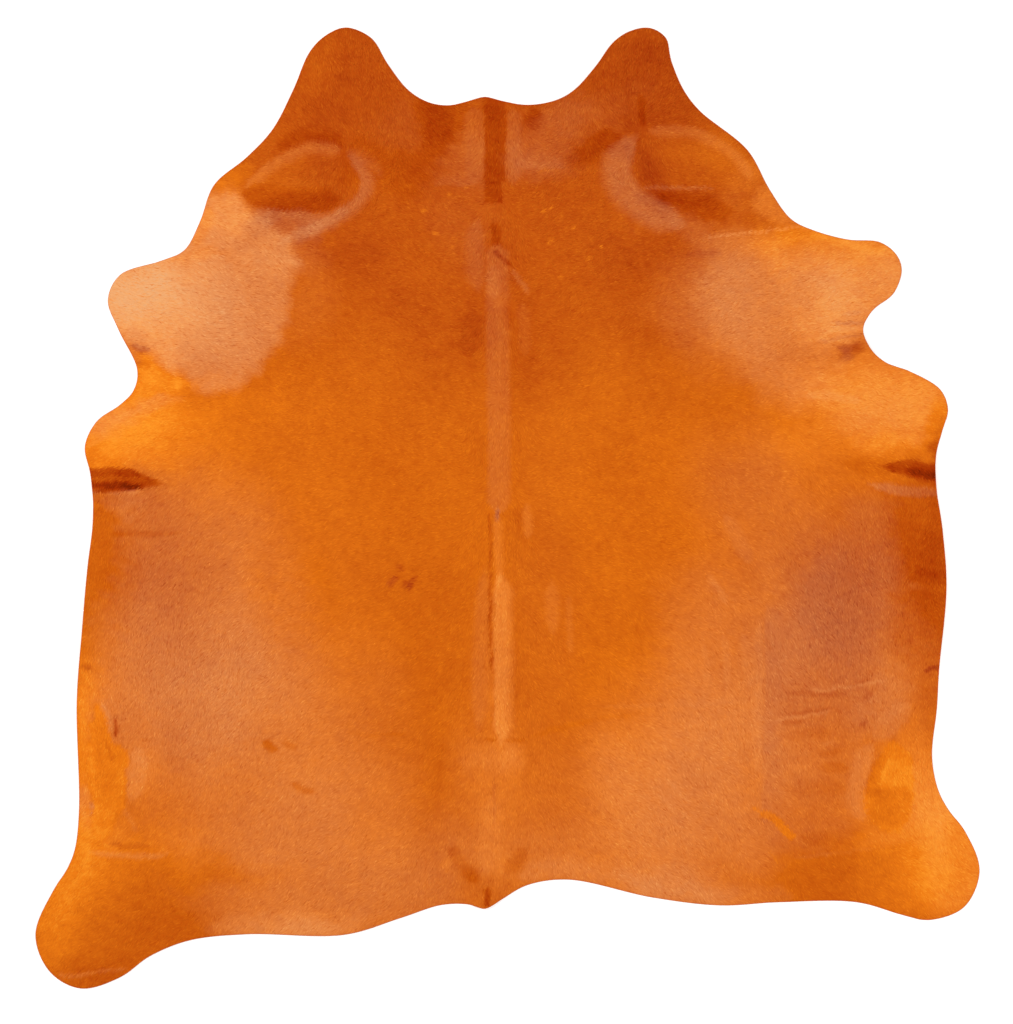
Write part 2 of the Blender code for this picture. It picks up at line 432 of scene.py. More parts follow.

# Columns: place, across, along, half length, half width, heading, edge, dye with painted shade and
# highlights, then painted sheen and lift.
PATCHES = tuple(Patch(*row) for row in (
    ("fore quarter", -15, 805, 700, 505, 0, 0.6, 0.2, 0.01),
    ("left cheek", -355, 965, 135, 135, 0, 0.8, 0.05),
    ("left cheek, outer", -425, 975, 30, 65, 0, 0.8, -0.05),
    ("left crest, dark fan", -400, 875, 50, 60, 20, 0.8, 0.05),
    ("right cheek", 315, 975, 135, 135, 0, 0.8, 0.11),
    ("right cheek, dark", 305, 1005, 60, 60, 0, 0.8, 0.05),
    ("right crest, light", 235, 895, 60, 35, 30, 0.8, -0.04, 0.02),
    ("right crest, dark", 190, 815, 65, 30, 12, 0.8, 0.16, -0.05),
    ("nape, left, dark", -150, 880, 75, 40, 0, 0.8, 0.04, -0.01),
    ("nape, left, deep", -160, 855, 50, 45, 0, 0.8, 0.14, -0.05),
    ("nape, left, pale", -100, 785, 70, 55, 0, 0.8, -0.01, 0.05),
    ("nape, left, light", -230, 860, 55, 45, 0, 0.8, -0.03, 0.02),
    ("nape, right", 70, 805, 85, 50, 0, 0.8, 0.01, 0.06),
    ("nape, right, pale", 125, 875, 65, 30, 0, 0.8, 0, 0.06),
    ("nape, right, dark", 50, 875, 20, 30, 0, 0.6, 0.14, -0.03),
    ("withers haze, right", 50, 770, 65, 40, 0, 0.8, -0.02, 0.04),
    ("left withers, dark", -260, 765, 110, 55, 0, 0.6, 0.04, -0.02),
    ("withers, light", -95, 635, 55, 75, 0, 0.9, -0.04, 0.02),
    # Round the whorls the light and dark patches are painted sheen and painted shade where the hair
    # turns towards and away from the light.
    ("left whorl, hollow", -465, 740, 105, 35, 14, 0.6, -0.06),
    ("left whorl, dark eye", -400, 755, 65, 35, 8, 0.7, 0.09),
    ("left whorl, light lip", -550, 715, 60, 15, 0, 0.8, -0.05, 0.02),
    ("left crest, outer light", -570, 755, 50, 20, 22, 0.8, -0.06),
    ("right whorl, dark heart", 325, 735, 55, 70, 0, 0.7, 0.13),
    ("right whorl, keel", 445, 680, 95, 30, -8, 0.8, 0.06),
    ("right whorl, bright side", 485, 785, 70, 35, -42, 0.8, -0.1),
    ("right armpit, upper light", 530, 715, 50, 35, 50, 0.8, -0.09, 0.02),
    ("right whorl, light crown", 380, 810, 55, 30, -12, 0.8, -0.07),
    ("right whorl, pale skirt", 410, 630, 90, 30, -18, 0.8, -0.01, 0.06),
    ("right armpit, light", 510, 620, 70, 30, 0, 0.8, -0.05, 0.04),
    ("right armpit, vivid", 610, 595, 55, 20, 0, 0.8, -0.05, -0.01),
    ("right armpit, upper edge", 560, 740, 20, 35, 24, 0.8, -0.06, 0.01),
    ("left crest, bright under", -355, 620, 55, 30, 20, 0.8, -0.05),
    ("left foreleg, palest", -805, 475, 165, 125, 0, 0.8, -0.16, 0.31),
    ("left foreleg, bare", -830, 495, 80, 65, 0, 0.9, -0.16, 0.27),
    ("left shoulder, dull", -640, 390, 90, 90, 0, 0.9, 0.09, 0.07),
    ("left shoulder, low mottle", -700, 345, 45, 60, 0, 0.7, 0.07, -0.05),
    ("left shoulder, low pale", -725, 370, 90, 75, 0, 0.9, -0.06, -0.03),
    ("left armpit, bright", -635, 735, 55, 25, 30, 0.7, -0.13, -0.02),
    ("left armpit, mauve", -515, 635, 70, 30, -12, 0.8, 0.16, 0.07),
    ("left armpit, pale hem", -460, 640, 60, 20, 12, 0.8, -0.03, 0.12),
    ("left armpit, light", -640, 665, 60, 45, 0, 0.8, -0.26, 0.09),
    ("left shoulder, foot", -600, 330, 130, 80, 20, 0.8, 0.03, -0.03),
    ("left shoulder, head", -505, 570, 75, 35, 0, 0.8, -0.08, 0.06),
    ("left shoulder, verge", -460, 440, 45, 100, -16, 0.9, -0.05, 0.03),
    ("left armpit, bare edge", -700, 565, 75, 15, -4, 0.8, -0.01, -0.15),
    ("left armpit, dark hem", -420, 565, 70, 35, 0, 0.8, 0.05),
    ("left notch, bright", -780, 290, 85, 25, 0, 0.8, -0.14, -0.15),
    ("left notch, dark", -830, 365, 30, 20, 0, 0.8, 0.13, -0.02),
    ("left notch, corner", -730, 310, 20, 25, 0, 0.8, -0.2, -0.03),
    ("left notch, pale under", -800, 240, 70, 20, 18, 0.8, 0.03, 0.12),
    ("right foreleg, pale", 830, 495, 145, 95, 0, 0.8, -0.2, 0.26),
    ("right foreleg, light end", 835, 555, 65, 60, 0, 0.8, -0.05, 0.02),
    ("right foreleg, front", 770, 605, 135, 25, -4, 0.8, -0.21, 0.02),
    ("right shoulder, front", 660, 580, 135, 45, -8, 0.8, -0.18, -0.02),
    ("right foreleg, dark root", 770, 360, 40, 20, 14, 0.7, 0.33, -0.04, -0.8),
    ("right foreleg, root's tail", 745, 340, 20, 15, 40, 0.8, 0.13, 0.04),
    ("right armhole", 695, 305, 25, 50, -30, 0.7, 0.07, -0.05),
    ("right notch, pale", 700, 405, 70, 35, 0, 0.9, -0.09, 0.05),
    ("left flank lobe", -885, 185, 150, 95, 0, 0.7, -0.27),
    ("left flank lobe, tip", -900, 200, 55, 35, 20, 0.8, 0.04, 0.16),
    ("left flank lobe, hem", -945, 130, 35, 20, 0, 0.8, 0.11, -0.05),
    ("left flank, under the band", -885, 5, 60, 20, 0, 0.8, -0.04, 0.1),
    ("left flank, middle", -725, 155, 140, 125, 0, 0.9, -0.07),
    ("left flank, fore light", -440, 260, 120, 75, 0, 0.9, -0.05),
    ("right flank lobe", 885, 240, 160, 85, -8, 0.8, -0.26, 0.14),
    ("right flank lobe, verge", 770, 185, 135, 90, 0, 0.9, -0.15, 0.02),
    ("right flank lobe, hem", 970, 165, 25, 60, -14, 0.8, 0.04, -0.15),
    ("right flank lobe, dark tip", 960, 140, 15, 20, 0, 0.8, 0.22),
    ("left belly", -840, -115, 135, 180, 0, 0.6, 0.09, 0.02),
    ("left belly, upper", -805, -100, 140, 105, 0, 0.8, 0.03, -0.05),
    ("left belly, inner", -590, -105, 110, 135, 0, 0.9, -0.03, -0.02),
    ("left flank, deep", -705, -295, 95, 190, 0, 0.9, 0.07),
    ("left flank, bare", -490, -205, 75, 95, 0, 0.9, 0, -0.05),
    ("left belly, edge", -945, -140, 65, 180, 0, 0.9, -0.05, -0.19),
    ("left belly, first nick", -950, -235, 10, 10, 0, 0.8, 0.26),
    ("left belly, second nick", -955, -355, 15, 5, 0, 0.8, 0.28),
    ("left flank bloom", -735, -250, 250, 305, 0, 0.45, 0.02, 0.16),
    ("left thigh bloom", -590, -520, 270, 225, 0, 0.7, -0.02, 0.12),
    ("left loin", -535, -340, 180, 340, 0, 0.9, -0.03, 0.02),
    ("left rump bloom", -420, -860, 270, 160, 0, 0.7, -0.02, 0.15),
    ("left rump, light", -305, -690, 100, 125, 0, 0.9, -0.04, 0.01),
    ("left rump, bloom high", -400, -630, 140, 75, 0, 0.9, 0, 0.06),
    ("left rump, hem bloom", -455, -940, 105, 30, 4, 0.8, -0.07, 0.11),
    ("left hind leg, dark", -790, -940, 150, 70, 20, 0.8, 0.13, -0.05),
    ("left hind leg, sole", -945, -1050, 105, 35, 4, 0.8, 0.14, -0.02),
    ("left hind leg, end", -1030, -905, 90, 110, 0, 0.9, -0.18),
    ("left hind leg, root", -935, -780, 80, 95, 0, 0.9, -0.18, -0.02),
    ("left thigh, low light", -750, -765, 80, 35, 0, 0.8, -0.08),
    ("left hind leg, bare streak", -630, -820, 130, 35, -6, 0.95, -0.01, -0.09),
    ("left hock, dark", -730, -525, 55, 80, 0, 0.8, 0.06, -0.05),
    ("left hock, light side", -825, -595, 45, 60, 0, 0.8, -0.11),
    ("left belly edge, low", -955, -420, 70, 85, 0, 0.8, -0.15, -0.02),
    ("left thigh, edge", -955, -600, 25, 190, 0, 0.6, -0.14, -0.02),
    ("left thigh, edge haze", -955, -675, 20, 40, 0, 0.8, 0.02, 0.15),
    ("left hock, light", -890, -725, 40, 25, 30, 0.8, -0.06, 0.02),
    ("right flank bloom", 760, -250, 225, 250, 0, 0.5, 0.03, 0.07),
    ("right ribs bloom", 555, 40, 115, 115, 0, 0.9, 0, 0.07),
    ("right flank, bare", 570, -265, 70, 75, 0, 0.9, 0, -0.06),
    ("right flank, dark cloud", 730, -215, 160, 130, 60, 0.9, 0.18, 0.06),
    ("right flank, cloud's light", 620, -130, 45, 50, 0, 0.9, -0.09),
    ("right flank, edge low", 950, -380, 55, 110, 0, 0.9, 0.07, 0.02),
    ("right flank, dark hollow", 510, -155, 45, 40, 0, 0.7, 0.06, -0.02),
    ("right thigh, dark", 690, -610, 115, 135, 0, 0.45, -0.05),
    ("right thigh, dark seam", 580, -520, 20, 55, 0, 0.7, 0.06),
    ("right belly edge", 950, -90, 65, 200, 0, 0.9, 0.23, -0.1),
    ("right belly, dark", 800, -110, 80, 115, 0, 0.8, 0.02, -0.06),
    ("right belly edge, darker", 975, -95, 30, 60, 0, 0.8, 0.07),
    ("right thigh, edge", 955, -495, 20, 110, 0, 0.7, 0.04, -0.01),
    ("right thigh, haze", 850, -425, 45, 80, -20, 0.8, 0, 0.12),
    ("right rump bloom", 425, -635, 200, 200, 0, 0.7, -0.04, 0.19),
    ("right rump, light", 210, -700, 250, 160, 0, 0.9, -0.02, 0.04),
    ("right loin, light", 260, -505, 80, 140, 0, 0.9, -0.08),
    ("right rump, hem light", 180, -780, 135, 60, 0, 0.9, -0.05, 0.05),
    ("right rump, hem bloom", 360, -845, 110, 35, -8, 0.8, 0, 0.13),
    ("right thigh, low dull", 575, -690, 115, 55, 0, 0.9, 0.04, -0.05),
    ("right loin bloom", 500, -320, 140, 180, 0, 0.7, -0.04, 0.12),
    ("right hind leg, dark", 755, -860, 170, 70, 0, 0.8, 0.1, -0.07),
    ("right hind leg, end", 985, -715, 115, 170, 20, 0.8, -0.33, 0.12),
    ("right hind leg, heel", 1030, -770, 40, 70, -20, 0.8, 0.08, -0.06),
    ("right hind leg, pale lobe", 810, -750, 55, 30, 0, 0.8, -0.09, 0.02),
    ("right hind leg, shade", 925, -795, 75, 70, 0, 0.9, 0.02, -0.06),
    ("right hind leg, sole", 895, -855, 90, 60, 0, 0.9, -0.14),
    ("left of spine", -165, -475, 85, 430, 0, 0.9, 0.06),
    ("loin, right of spine", 85, -295, 65, 405, 0, 0.9, 0.04, 0.01),
    # The rump ridge is paler where the skin is raised, a painted highlight.
    ("rump ridge", -45, -635, 60, 225, 0, 0.9, -0.07, 0.04, 0.6),
    ("rump, pale upper", -20, -560, 45, 35, 0, 0.9, -0.1, 0.08),
    ("rump bloom", -60, -790, 180, 110, 0, 0.8, 0.01, 0.04),
    ("back, dark left", -80, 380, 30, 80, 0, 0.8, 0.08),
    ("back, dark right", 35, 275, 35, 90, 0, 0.8, 0.05),
    ("back, light right", 150, 590, 80, 70, 0, 0.9, -0.06),
    ("back, light low right", 175, 215, 95, 70, 0, 0.9, -0.06),
    ("right armpit, under", 350, 575, 55, 40, 0, 0.9, 0.08),
    ("right shoulder, low mauve", 465, 450, 95, 110, 0, 0.9, 0, 0.09),
    ("right shoulder, bare", 655, 330, 55, 90, 0, 0.9, 0.06, -0.06),
    ("right flank lobe, root", 820, 210, 70, 50, 0, 0.9, 0.1, 0.02),
    ("right flank lobe, foot", 845, 135, 80, 20, 0, 0.8, -0.09),
    ("left belly, top edge", -905, 20, 50, 20, 0, 0.7, 0.1),
    ("back, dark far right", 260, 530, 60, 70, 0, 0.9, 0.04),
    ("back, pale far right", 330, 440, 55, 30, 0, 0.8, -0.05, 0.02),
    ("back, dark far left", -345, 555, 70, 80, 0, 0.9, 0.05),
    ("back, low dark left", -330, 75, 110, 50, 0, 0.9, 0.03),
    ("left back, dim", -290, -135, 55, 50, 0, 0.9, 0.06),
    ("tail, left dimple", -130, -815, 20, 20, 0, 0.8, -0.12, 0, -0.5),
    ("tail, dark root", -45, -860, 45, 30, 0, 0.8, 0.09, -0.04),
))

# Both ends of each pale fleck on the nape.
FLECKS = (
    ((-168, 620), (-154, 618)), ((206, 586), (215, 589)), ((-228, 724), (-219, 725)),
    ((114, 519), (123, 520)), ((-98, 724), (-89, 724)), ((173, 562), (184, 563)),
    ((140, 629), (151, 631)), ((89, 596), (98, 601)), ((92, 674), (104, 676)),
    ((71, 668), (89, 669)), ((-194, 668), (-178, 668)), ((-128, 587), (-122, 587)),
    ((-128, 603), (-117, 603)), ((-137, 706), (-126, 707)),
)

# Columns: place, path, core, left fade, right fade, ends, dye with painted shade and highlights, then
# painted sheen and lift.
STROKES = tuple(Stroke(*row) for row in (
    ("spine, dark stripe", ((-28, 936), (-28, 729)), 22, 4, 4, 4, 0.12, -0.06),
    ("spine, stripe's core", ((-35, 922), (-33, 729)), 14, 7, 11, 18, 0.03),
    ("spine, stripe's foot", ((-32, 734), (-32, 686)), 18, 2, 2, 2, 0.15, -0.04),
    ("spine, strip left", ((-73, 909), (-71, 724)), 14, 9, 18, 27, -0.02, 0.04),
    ("spine, strip right", ((12, 904), (12, 724)), 9, 18, 7, 27, -0.02, 0.05),
    ("nape, right, edge", ((10, 770), (73, 765), (136, 765)), 1, 36, 3, 36, -0.02, 0.05),
    *(("nape, fleck", ends, 2, 2, 2, 2, -0.26) for ends in FLECKS),
    ("nape, right, thread", ((57, 760), (91, 758), (118, 756)), 1, 2, 2, 18, -0.15),
    ("nape, left, edge", ((-174, 727), (-57, 729)), 1, 36, 4, 36, 0, 0.04),
    ("spine, pale band", ((-26, 603), (-24, 468), (-24, 356), (-21, 176), (-21, -18)), 16, 20, 14, 32,
     -0.01, 0.07),
    ("spine, band's head", ((-35, 554), (-33, 513), (-30, 464)), 7, 16, 11, 27, -0.06, 0.05),
    ("spine, shade right", ((-1, 482), (1, 392)), 4, 9, 11, 27, 0.05, -0.02),
    ("spine, thin line", ((-10, 547), (-8, 288), (-3, 63)), 2, 4, 4, 68, 0.02, -0.01),
    ("spine, blotch", ((-28, 644), (-27, 616), (-27, 587)), 9, 3, 3, 7, 0.13, -0.05),
    ("spine, fleck", ((-28, 583), (-15, 565), (10, 542)), 3, 4, 4, 9, 0.19, -0.04, -0.3),
    ("spine, halo", ((-66, 659), (-69, 558), (-62, 477)), 7, 16, 32, 45, 0, 0.06),
    ("spine, flare", ((8, 540), (26, 513), (48, 479)), 3, 4, 4, 14, -0.03, 0.08),
    ("spine, flare's shade", ((-1, 536), (19, 504), (37, 470)), 2, 4, 4, 14, 0.06),
    ("spine, flare's end", ((33, 472), (37, 400), (39, 333)), 7, 14, 11, 36, -0.01, 0.02),
    ("spine, shadow", ((-75, 457), (-80, 389), (-93, 328)), 14, 14, 18, 36, 0.08),
    # Along the raised spine the ridge strokes are painted highlights, and the ridge line is painted
    # shade in its crease.
    ("spine, ridge", ((-19, -135), (-17, -207), (-17, -387), (-17, -540)), 10, 29, 7, 54, -0.16, 0.12,
     1),
    ("spine, ridge, upper", ((-26, 0), (-24, -72), (-20, -180)), 3, 18, 7, 40, -0.09, 0.05),
    ("spine, right shade", ((12, -108), (17, -297), (19, -477)), 4, 11, 9, 90, 0.04),
    ("spine, left haze", ((-53, -117), (-62, -297), (-69, -522)), 4, 45, 20, 112, -0.01, 0.05),
    ("spine, ridge low", ((-35, -634), (-42, -747), (-46, -846)), 11, 27, 27, 68, -0.04, 0.03, 0.6),
    ("spine, ridge line", ((-38, 4), (-39, -117), (-38, -252), (-34, -387)), 2, 2, 3, 32, 0.2, -0.05,
     -0.4),
    ("spine, spot", ((-24, 2), (-24, -14), (-21, -32)), 2, 4, 4, 7, 0.34, 0.17),
    # The loin's pale streaks are painted highlights on slight ridges, beside painted shade.
    ("loin, streak", ((44, 18), (44, -25), (48, -76)), 2, 16, 14, 36, -0.09, 0.05, 0.2),
    ("loin, streak's shade", ((24, 11), (24, -27), (26, -61)), 4, 7, 7, 22, 0.07),
    ("loin, middle streak", ((98, -151), (100, -207), (102, -297)), 7, 16, 16, 54, -0.07, 0.04, 0.2),
    ("loin, outer streak", ((138, -184), (138, -230), (143, -342)), 3, 9, 9, 40, -0.05, 0.03, 0.2),
    ("left back, blot", ((-269, -176), (-259, -164), (-250, -154)), 4, 6, 6, 4, 0.2, 0.02),
    ("left back, blot top", ((-249, -126), (-242, -135), (-237, -144)), 3, 4, 4, 3, 0.14, 0.01),
    ("left back, blot right", ((-235, -164), (-224, -173), (-217, -184)), 5, 6, 6, 4, 0.17, 0.01),
    ("left back, blot end", ((-222, -178), (-213, -164), (-204, -151)), 4, 6, 6, 4, 0.18, 0.01),
    # Wrinkles and creases here are painted highlight where the skin is raised and painted shade where
    # it is pressed in.
    ("loin, wrinkle right", ((197, -448), (388, -441), (579, -432)), 2, 7, 7, 68, -0.01, 0.03, 0.2),
    ("loin, wrinkle across", ((39, -522), (118, -495), (208, -475), (321, -459)), 2, 9, 7, 68, 0, -0.02,
     -0.2),
    ("rump, cross crease", ((-57, -520), (-17, -522), (51, -524)), 2, 3, 3, 22, 0.1, -0.06, -0.2),
    ("rump, centre line", ((-30, -590), (-30, -657), (-30, -724)), 2, 3, 3, 45, 0.09),
    ("loin, wrinkle left", ((-377, -502), (-298, -511), (-219, -506)), 2, 4, 4, 40, 0, -0.02, -0.2),
    ("rump, pale hem", ((17, -832), (118, -814), (208, -832), (321, -860), (478, -880), (658, -875)), 9,
     36, 18, 45, -0.03, 0.09),
    ("rump, left pale hem", ((-692, -950), (-534, -940), (-366, -945)), 9, 32, 18, 76, -0.03, 0.06),
    ("rump, scratch", ((359, -610), (379, -630), (411, -664)), 2, 3, 3, 9, -0.04, 0.06, 0.1),
    ("rump, scratch left", ((332, -646), (370, -670), (411, -700)), 2, 3, 3, 9, -0.05, 0.05, 0.1),
    # The tail's hollows and crease are painted shade in dents of the skin.
    ("tail, left hollow", ((-143, -765), (-120, -778), (-109, -796), (-89, -819), (-62, -846)), 7, 18,
     14, 27, 0.09, -0.05, -0.2),
    ("tail, right hollow", ((46, -758), (28, -783), (10, -806), (-10, -830)), 8, 18, 18, 32, 0.11,
     -0.05, -0.2),
    ("tail, crease", ((-46, -850), (-45, -873), (-46, -900)), 2, 7, 7, 11, 0.28, -0.12, -0.6),
    ("tail, dash", ((-60, -749), (-15, -752)), 1, 4, 4, 11, 0.09, -0.03),
    # Round the whorls the rims and crescents are painted sheen where the hair turns towards the light,
    # and the brows and keel painted shade where it turns away.
    ("left whorl, brow", ((-366, 806), (-399, 824), (-449, 830), (-489, 819), (-521, 803)), 4, 9, 36,
     22, 0.1, -0.01, -0.3),
    ("left whorl, rim", ((-368, 803), (-399, 811), (-447, 812), (-487, 796), (-528, 774), (-564, 745),
     (-591, 711)), 4, 22, 9, 27, -0.11, 0.07, 0.5),
    ("left whorl, crescent", ((-368, 803), (-343, 776), (-325, 747), (-323, 718), (-345, 686),
     (-379, 662), (-426, 637), (-474, 616), (-521, 596)), 4, 27, 9, 50, -0.01, 0.14, 0.5),
    ("left whorl, thin top", ((-366, 806), (-341, 792), (-305, 770), (-278, 734)), 2, 27, 7, 40, -0.02,
     0.05),
    ("left whorl, low crescent", ((-354, 675), (-395, 650), (-440, 630), (-489, 612)), 7, 18, 14, 22,
     -0.01, 0.08, 0.3),
    ("left whorl, keel", ((-606, 709), (-552, 696), (-489, 687), (-426, 685), (-372, 700)), 16, 22, 9,
     32, 0.15, -0.14, -0.5),
    # The right whorl's rim and crescent are painted sheen, and its line a painted highlight with
    # painted shade under it.
    ("right whorl, rim", ((309, 848), (366, 850), (411, 848), (447, 835), (492, 810), (530, 774),
     (555, 734)), 4, 11, 20, 36, -0.08, 0.06, 0.5),
    ("right whorl, crescent", ((298, 846), (271, 814), (253, 783), (251, 752), (264, 718), (294, 688),
     (330, 666), (375, 646), (415, 632)), 16, 22, 36, 76, -0.01, 0.15, 0.5),
    ("right crest, dark line", ((300, 932), (303, 891), (305, 853)), 3, 9, 9, 18, 0.08, -0.03),
    ("right whorl, line", ((294, 722), (366, 721), (474, 718)), 2, 3, 3, 32, -0.05, 0.09, 0.2),
    ("right whorl, line's shade", ((298, 711), (388, 706), (501, 702), (550, 711)), 4, 3, 27, 36, 0.05),
    ("right whorl, dark under", ((298, 684), (370, 675), (460, 666), (519, 670)), 14, 27, 22, 58, 0.06,
     -0.03),
    ("right armpit, crease", ((433, 604), (469, 611), (546, 619), (672, 634)), 2, 2, 2, 32, -0.14, 0.14,
     -0.3),
    ("right armpit, smudge", ((393, 572), (492, 572)), 4, 9, 9, 32, 0.09, 0.01),
    # The foreleg's wrinkles are painted shade in their pressed lines and a painted highlight on the
    # raised one.
    ("right foreleg, wrinkle", ((726, 414), (771, 416), (811, 414)), 2, 4, 4, 18, 0.2, 0.04, -0.4),
    ("right foreleg, wrinkle low", ((692, 374), (748, 382), (807, 392)), 2, 4, 4, 27, 0.15, 0.02, -0.4),
    ("right foreleg, wrinkle pale", ((714, 398), (766, 403), (811, 403)), 2, 4, 4, 18, -0.07, 0.1, 0.3),
    ("right foreleg, top line", ((665, 461), (748, 464), (798, 468)), 2, 3, 3, 22, -0.06, 0.05),
    ("right notch, pale line", ((658, 376), (708, 380), (739, 376)), 2, 4, 4, 18, -0.09, 0.03),
    ("right foreleg, wrinkle mauve", ((753, 436), (798, 441)), 3, 6, 6, 14, 0.1, 0.07, -0.3),
    ("right flank, pale line", ((658, 252), (726, 252), (804, 238)), 4, 11, 11, 32, -0.04, 0.09),
    ("left notch, upper mark", ((-849, 369), (-827, 359), (-800, 356)), 5, 7, 7, 14, 0.3, 0, -0.4),
    ("left notch, lower mark", ((-840, 328), (-798, 317)), 3, 7, 7, 11, 0.16, 0, -0.4),
    ("left notch, fleck", ((-735, 279), (-712, 268)), 3, 4, 4, 7, 0.1),
    ("left armpit, bare line", ((-669, 684), (-687, 630), (-710, 585)), 9, 16, 16, 27, -0.05, -0.12),
    ("left armpit, crease", ((-606, 580), (-552, 576), (-501, 565)), 3, 6, 6, 18, -0.05, 0.06, 0.2),
    ("left armpit, long crease", ((-759, 560), (-681, 567), (-602, 562), (-523, 554), (-449, 554)), 2,
     6, 6, 32, -0.05, 0.06, 0.2),
    # The dark bands lie in the dip before each flank fold: partly darker hair and partly painted shade
    # in the dip, with painted highlights on the lip and the pale strip.
    ("left flank, dark band", ((-1029, 65), (-933, 65), (-872, 65), (-800, 56), (-755, 50)), 20, 9, 4,
     99, 0.27, -0.12, -0.8),
    ("left flank, dark band, low", ((-1007, 43), (-933, 43), (-872, 45), (-804, 48)), 10, 9, 1, 68,
     0.25, 0, -0.4),
    ("left flank, band's lip", ((-1007, 30), (-933, 32), (-906, 33), (-872, 35), (-820, 38)), 1, 2, 4,
     27, -0.12, 0.1, 0.2),
    ("left flank, dark band, top", ((-984, 81), (-933, 81), (-861, 81), (-809, 70)), 7, 4, 7, 54, 0.2),
    ("left flank, faint line", ((-928, -56), (-827, -58), (-714, -56)), 3, 7, 7, 58, 0.04, -0.05, -0.2),
    ("left flank, step", ((-827, 38), (-771, 42), (-681, 48), (-602, 58)), 2, 2, 58, 68, -0.01, 0,
     -0.3),
    ("right flank, dark band", ((1086, 79), (969, 82), (917, 89), (872, 93), (820, 96)), 14, 11, 6, 81,
     0.29, -0.12, -0.8),
    ("right flank, band's haze", ((894, 86), (816, 94), (737, 104)), 11, 18, 16, 68, 0.09, -0.02),
    ("right flank, dark band, low", ((1029, 62), (964, 64), (917, 76), (879, 88)), 8, 9, 11, 45, 0.15,
     0, -0.4),
    ("right flank, pale strip", ((1007, 34), (917, 36), (849, 45), (798, 58)), 8, 4, 9, 68, 0.04, 0.16,
     0.3),
    # The belly's pleats are painted shade in their pressed lines and a painted highlight on the raised
    # one.
    ("right belly, dark pleat", ((910, -142), (951, -148), (1007, -151)), 4, 9, 9, 27, 0.1, 0, -0.3),
    ("right belly, pale pleat", ((894, -171), (951, -180), (1007, -180)), 4, 9, 9, 27, -0.07, 0.04,
     0.3),
    ("right belly, inner pleat", ((843, -184), (874, -200), (917, -223)), 4, 18, 18, 54, 0.02, -0.04,
     -0.3),
    ("right belly, nick", ((933, -369), (955, -360), (984, -360)), 3, 4, 4, 14, 0.24, 0, -0.3),
    ("right flank, pale vein", ((487, -9), (516, -61), (548, -130)), 7, 16, 20, 32, 0, 0.05),
    ("right flank, pale vein low", ((451, -144), (469, -176), (494, -220)), 3, 9, 9, 18, -0.02, 0.06),
    ("right loin, pale vein", ((483, -279), (492, -342), (492, -414)), 3, 9, 9, 27, -0.03, 0.05, 0.2),
    ("right loin, pale vein outer", ((530, -274), (539, -342), (546, -410)), 6, 11, 11, 32, -0.03, 0.04,
     0.2),
    ("right loin, pale vein inner", ((440, -297), (447, -353), (449, -410)), 3, 9, 9, 27, -0.02, 0.04,
     0.2),
    # Folds, creases and dimples of the left thigh and hock are painted highlight where the skin is
    # raised and painted shade where it is pressed in.
    ("left thigh, pale brow", ((-924, -432), (-901, -459), (-890, -506)), 3, 7, 7, 22, -0.01, 0.1, 0.4),
    ("left thigh, dark nick", ((-883, -466), (-879, -493), (-881, -518)), 3, 3, 3, 14, 0.3, -0.12,
     -0.5),
    ("left thigh, crease", ((-901, -522), (-892, -544), (-885, -572)), 2, 4, 7, 18, 0.14, 0, -0.5),
    ("left thigh, grey mark", ((-937, -657), (-933, -675), (-937, -695)), 2, 3, 3, 11, 0.2, 0.2),
    ("left thigh, pale fold", ((-829, -526), (-834, -590), (-847, -666)), 14, 18, 7, 36, -0.04, 0.09,
     0.5),
    ("left thigh, thin fold", ((-863, -673), (-849, -698), (-831, -734)), 2, 4, 4, 18, -0.02, 0.05,
     0.2),
    ("left hock, pale fold", ((-953, -770), (-906, -778), (-827, -783), (-748, -778)), 3, 6, 6, 45,
     -0.03, 0.11, 0.4),
    ("left hock, dark fold", ((-906, -752), (-861, -760), (-791, -763)), 3, 7, 4, 36, 0.12, 0, -0.4),
    ("left hock, edge fold", ((-984, -742), (-957, -745), (-926, -754)), 3, 7, 7, 18, 0.07, -0.04,
     -0.3),
    ("left thigh, dimple", ((-552, -518), (-537, -533), (-516, -551)), 6, 7, 7, 14, 0.1, -0.15, -0.5),
    ("left thigh, right dimple", ((-510, -522), (-492, -533), (-467, -544)), 4, 7, 7, 14, 0.07, -0.08,
     -0.5),
    ("left thigh, low dimple", ((-485, -614), (-462, -632), (-429, -641)), 4, 7, 7, 14, 0.09, -0.12,
     -0.5),
    ("left sole, pale line", ((-1018, -1048), (-973, -1053), (-928, -1044), (-849, -1035)), 2, 4, 4, 22,
     -0.07, 0.1, 0.2),
    # The right pocket's rim, brow and streak are painted highlights on raised skin, and its dark left
    # side is painted shade.
    ("right pocket, rim", ((825, -526), (800, -578), (789, -646), (802, -711)), 11, 9, 27, 36, -0.04,
     0.1, 0.5),
    ("right pocket, brow", ((910, -432), (861, -482), (816, -526)), 14, 22, 22, 36, -0.01, 0.06, 0.3),
    ("right pocket, bright streak", ((872, -544), (847, -590), (825, -639)), 3, 7, 7, 27, -0.05, 0,
     0.3),
    ("right pocket, dark left", ((847, -549), (827, -594), (818, -657)), 9, 9, 14, 18, 0.1, 0, -0.3),
    # The right hock's dark fold is painted shade and its pale fold a painted highlight.
    ("right hock, dark fold", ((649, -742), (726, -742), (820, -738)), 7, 20, 20, 45, 0.04, -0.03,
     -0.3),
    ("right hock, pale fold", ((636, -788), (726, -778), (838, -763)), 2, 4, 4, 45, -0.01, 0.04, 0.3),
    ("right thigh, slash", ((568, -684), (595, -695), (622, -720), (645, -745)), 8, 3, 3, 7, -0.17,
     -0.12, 0.2),
